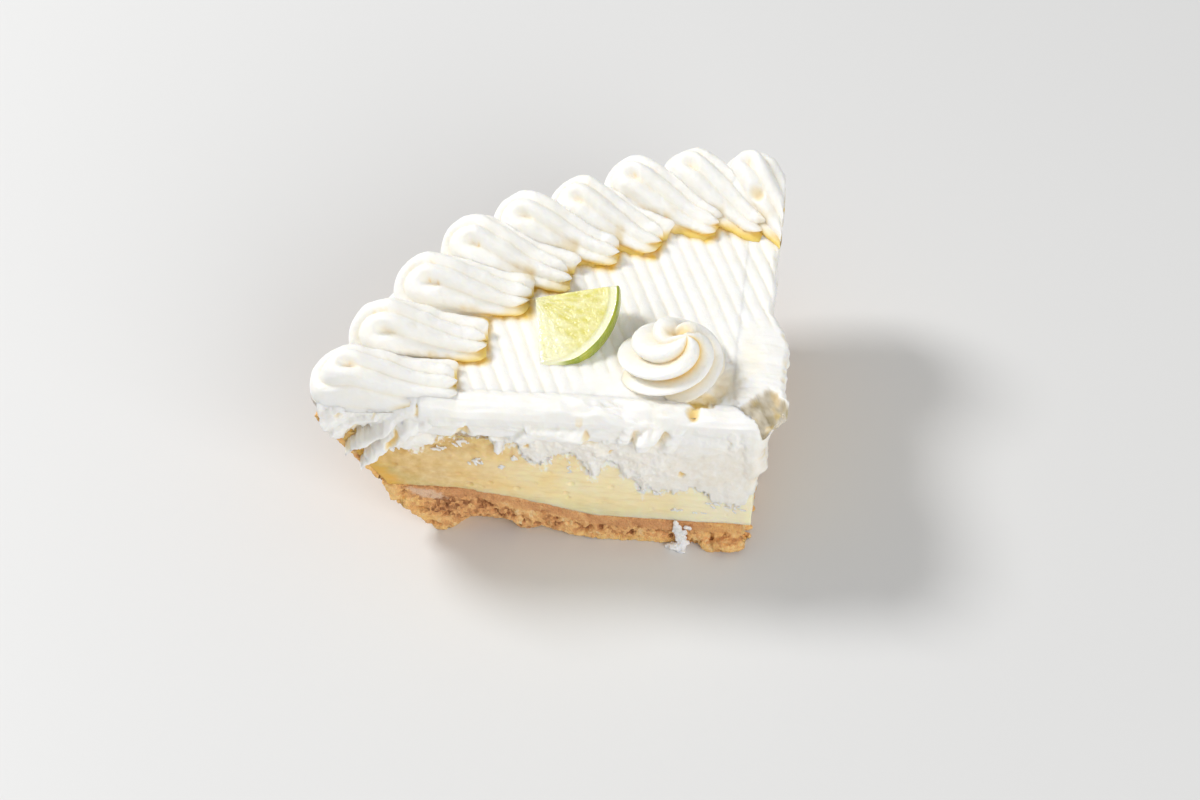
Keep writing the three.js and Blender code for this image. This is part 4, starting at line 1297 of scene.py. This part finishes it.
def makeLime():
    sizes = limeShape
    bm = gridBlock(sizes["rings"], sizes["spokes"], 12)
    [pale] = newLayers(bm, "pale")
    spoke = bm.verts.layers.float_vector.new("spoke")
    along = (sizes["right"] - sizes["apex"]).normalized()
    down = (sizes["bottom"] - sizes["apex"]).cross(along).normalized()
    forward = along.cross(down)
    if (sizes["bottom"] - sizes["apex"]).dot(forward) < 0:
        forward = -forward
    if down.z < 0:
        down = -down
    turns = Matrix((along, forward, down)).transposed()
    rim, ended = set(), {}
    for vert in bm.verts:
        u, v, w = vert.co
        angle = math.radians(90 * v)
        far = u ** 0.8
        edgeRound = sizes["edge"] * (1 - math.sqrt(max(1 - (2 * w - 1) ** 4, 0)))
        lowerCorner = softStep(math.degrees(angle), 60, 90)
        radius = far * (sizes["radius"] * (1 - sizes["narrowed"] * lowerCorner) - edgeRound)
        pithFrom = sizes["radius"] - sizes["pith"]
        distance = min(
            abs(math.degrees(angle) - wall) * math.radians(1) * radius for wall in sizes["membranes"]
        )
        membrane = (1 - softStep(distance, 0.2, 0.8)) * softStep(radius, 1, 4)
        inPith = softStep(radius, pithFrom - 0.4, pithFrom + 0.3)
        flesh = 1 - max(membrane, inPith)
        lift = 0
        if w > 0.999 or w < 0.001:
            sacs = 0.4 + 0.5 * grain(radius * 0.35, angle * radius, 1, 1.4, 2)
            lift = sizes["sacs"] * flesh * sacs
            lift -= 0.25 * inPith * (1 - softStep(radius, sizes["radius"] - 1, sizes["radius"]))
        height = (w - 1) * sizes["thickness"] + (lift - 0.3 if w > 0.5 else -lift)
        flat = Vector((radius * math.cos(angle), radius * math.sin(angle), height))
        towardEdge = 0.7 * softStep(math.degrees(angle), 50, 75)
        vert[pale] = max(membrane, inPith, 0.6 * (1 - softStep(radius, 0, 5)), towardEdge)
        ended[vert] = softStep(math.degrees(angle), 68, 82)
        vert[spoke] = Vector((radius * 0.00035, angle * 10 * 0.001, w * 0.004))
        vert.co = sizes["apex"] + sizes["shift"] + turns @ flat
        if u > 0.9999:
            rim.add(vert)
    for face in bm.faces:
        if all(vert in rim for vert in face.verts):
            face.material_index = 1
            for vert in face.verts:
                vert[pale] = ended[vert]
    return finishPiece(bm, "limeSlice", ["lime_slice"], limeMaterials())


# loose bits of cream
bitShape = {
    "seed": 33,
    "voxel": 0.16,
    "flecksPerArea": 1.3,
    "fleckSize": (0.16, 0.3),
    "fleckStretch": (1.5, 5),
    "fleckTurn": (-0.2, 1.3),
    # by the tip: x, y, z, size along each
    "dollops": [
        (-14.3, 9.6, 0.7, 2.6, 1.3, 1.0), (-12.6, 10.2, 1.4, 1.6, 1.0, 1.2),
        (-16.2, 9.9, 0.5, 1.4, 0.8, 0.7), (-13.4, 10.5, 3.4, 1.5, 0.6, 1.9),
        (-14.3, 10.5, 6.2, 1.3, 0.5, 2.0), (-12.4, 10.6, 5.0, 0.8, 0.4, 1.2),
        (-11.6, 10.5, 7.2, 0.9, 0.4, 0.8), (-14.6, 10.5, 8.6, 0.7, 0.4, 0.9),
        (-13, 8.4, 0.4, 1.3, 0.7, 0.5),
    ],
}


def makeBits(name, blobs, roughness, material):
    # each blob: its place, its size along each axis and, if any, its turn
    bm = bmesh.new()
    for x, y, z, sizeX, sizeY, sizeZ, *turn in blobs:
        place = Matrix.Translation((x, y, z)) @ Matrix.Rotation(sum(turn), 4, "Y")
        place @= Matrix.Diagonal((sizeX, sizeY, sizeZ, 1))
        bmesh.ops.create_icosphere(bm, subdivisions=3, radius=1, matrix=place)
    bm = remeshed(bm, bitShape["voxel"])
    bm.normal_update()
    for vert in bm.verts:
        vert.co += vert.normal * (roughness * grain(*vert.co, 1.1, 3))
        vert.co.z = max(vert.co.z, 0)
    finishPiece(bm, name, [], [material])


def fleckBlobs():
    dice = random.Random(bitShape["seed"])
    for x, z, reachX, reachZ in skinShape["flecks"]:
        for _ in range(3 + int(reachX * reachZ * bitShape["flecksPerArea"])):
            size = dice.uniform(*bitShape["fleckSize"])
            yield (
                x + reachX * dice.gauss(0, 0.4), cuts["front"] + 0.1, z + reachZ * dice.gauss(0, 0.4),
                size * dice.uniform(*bitShape["fleckStretch"]), 0.4, size,
                dice.uniform(*bitShape["fleckTurn"]),
            )


# floor, light and camera
lightLook = {
    "world": 0.42,
    "key": (14.5, 0.42, (-0.95, 0.38, 1.0)),  # watts, width, place
    "fill": (12.2, 1.2, (0.85, -1.15, 0.8)),
    "aim": (0, 0, 0.03),
    "floor": (0.73, 0.73, 0.725),
    "floorSize": 6,
}
viewPoint = {
    "lens": 75,
    "sensor": 36,
    "place": (0.0434, -0.45805, 0.4981),
    "looking": Vector((-0.0498, 0.6788, -0.7326)),
}


def addLamp(name, power, width, place, aim):
    lamp = bpy.data.lights.new(name, "AREA")
    lamp.energy = power
    lamp.shape = "DISK"
    lamp.size = width
    holder = bpy.data.objects.new(name, lamp)
    holder.location = place
    holder.rotation_euler = (Vector(aim) - Vector(place)).to_track_quat("-Z", "Y").to_euler()
    bpy.context.scene.collection.objects.link(holder)


def makeStudio():
    scene = bpy.context.scene
    scene.view_settings.view_transform = "Standard"
    world = bpy.data.worlds.new("softRoom")
    world.use_nodes = True
    world.node_tree.nodes["Background"].inputs["Color"].default_value = (1, 1, 1, 1)
    world.node_tree.nodes["Background"].inputs["Strength"].default_value = lightLook["world"]
    scene.world = world
    for name in ("key", "fill"):
        power, width, place = lightLook[name]
        addLamp(name + "Light", power, width, place, lightLook["aim"])
    bm = bmesh.new()
    bmesh.ops.create_grid(bm, x_segments=1, y_segments=1, size=lightLook["floorSize"])
    mesh = bpy.data.meshes.new("floor")
    bm.to_mesh(mesh)
    bm.free()
    floor = bpy.data.objects.new("floor", mesh)
    scene.collection.objects.link(floor)
    mesh.materials.append(startMaterial("paleFloor", lightLook["floor"], 0.4)[0])


def makeCamera():
    camera = bpy.data.objects.new("camera", bpy.data.cameras.new("camera"))
    camera.data.lens = viewPoint["lens"]
    camera.data.sensor_width = viewPoint["sensor"]
    camera.location = viewPoint["place"]
    camera.rotation_euler = viewPoint["looking"].to_track_quat("-Z", "Y").to_euler()
    bpy.context.scene.collection.objects.link(camera)
    bpy.context.scene.camera = camera


makeStudio()
makeCamera()
print("studio ready")
makeCrust()
makeCustard()
whippedCream = creamMaterial()
makeCreamTop(whippedCream)
makeCreamSkin(whippedCream)
for number, row in enumerate(shellShape["rows"], 1):
    makeShell(number, row, whippedCream)
makeRosette(whippedCream)
makeLime()
makeBits("creamBit", bitShape["dollops"], 0.45, whippedCream)
makeBits("creamFlecks", fleckBlobs(), 0.2, whippedCream)
print("all pieces made")
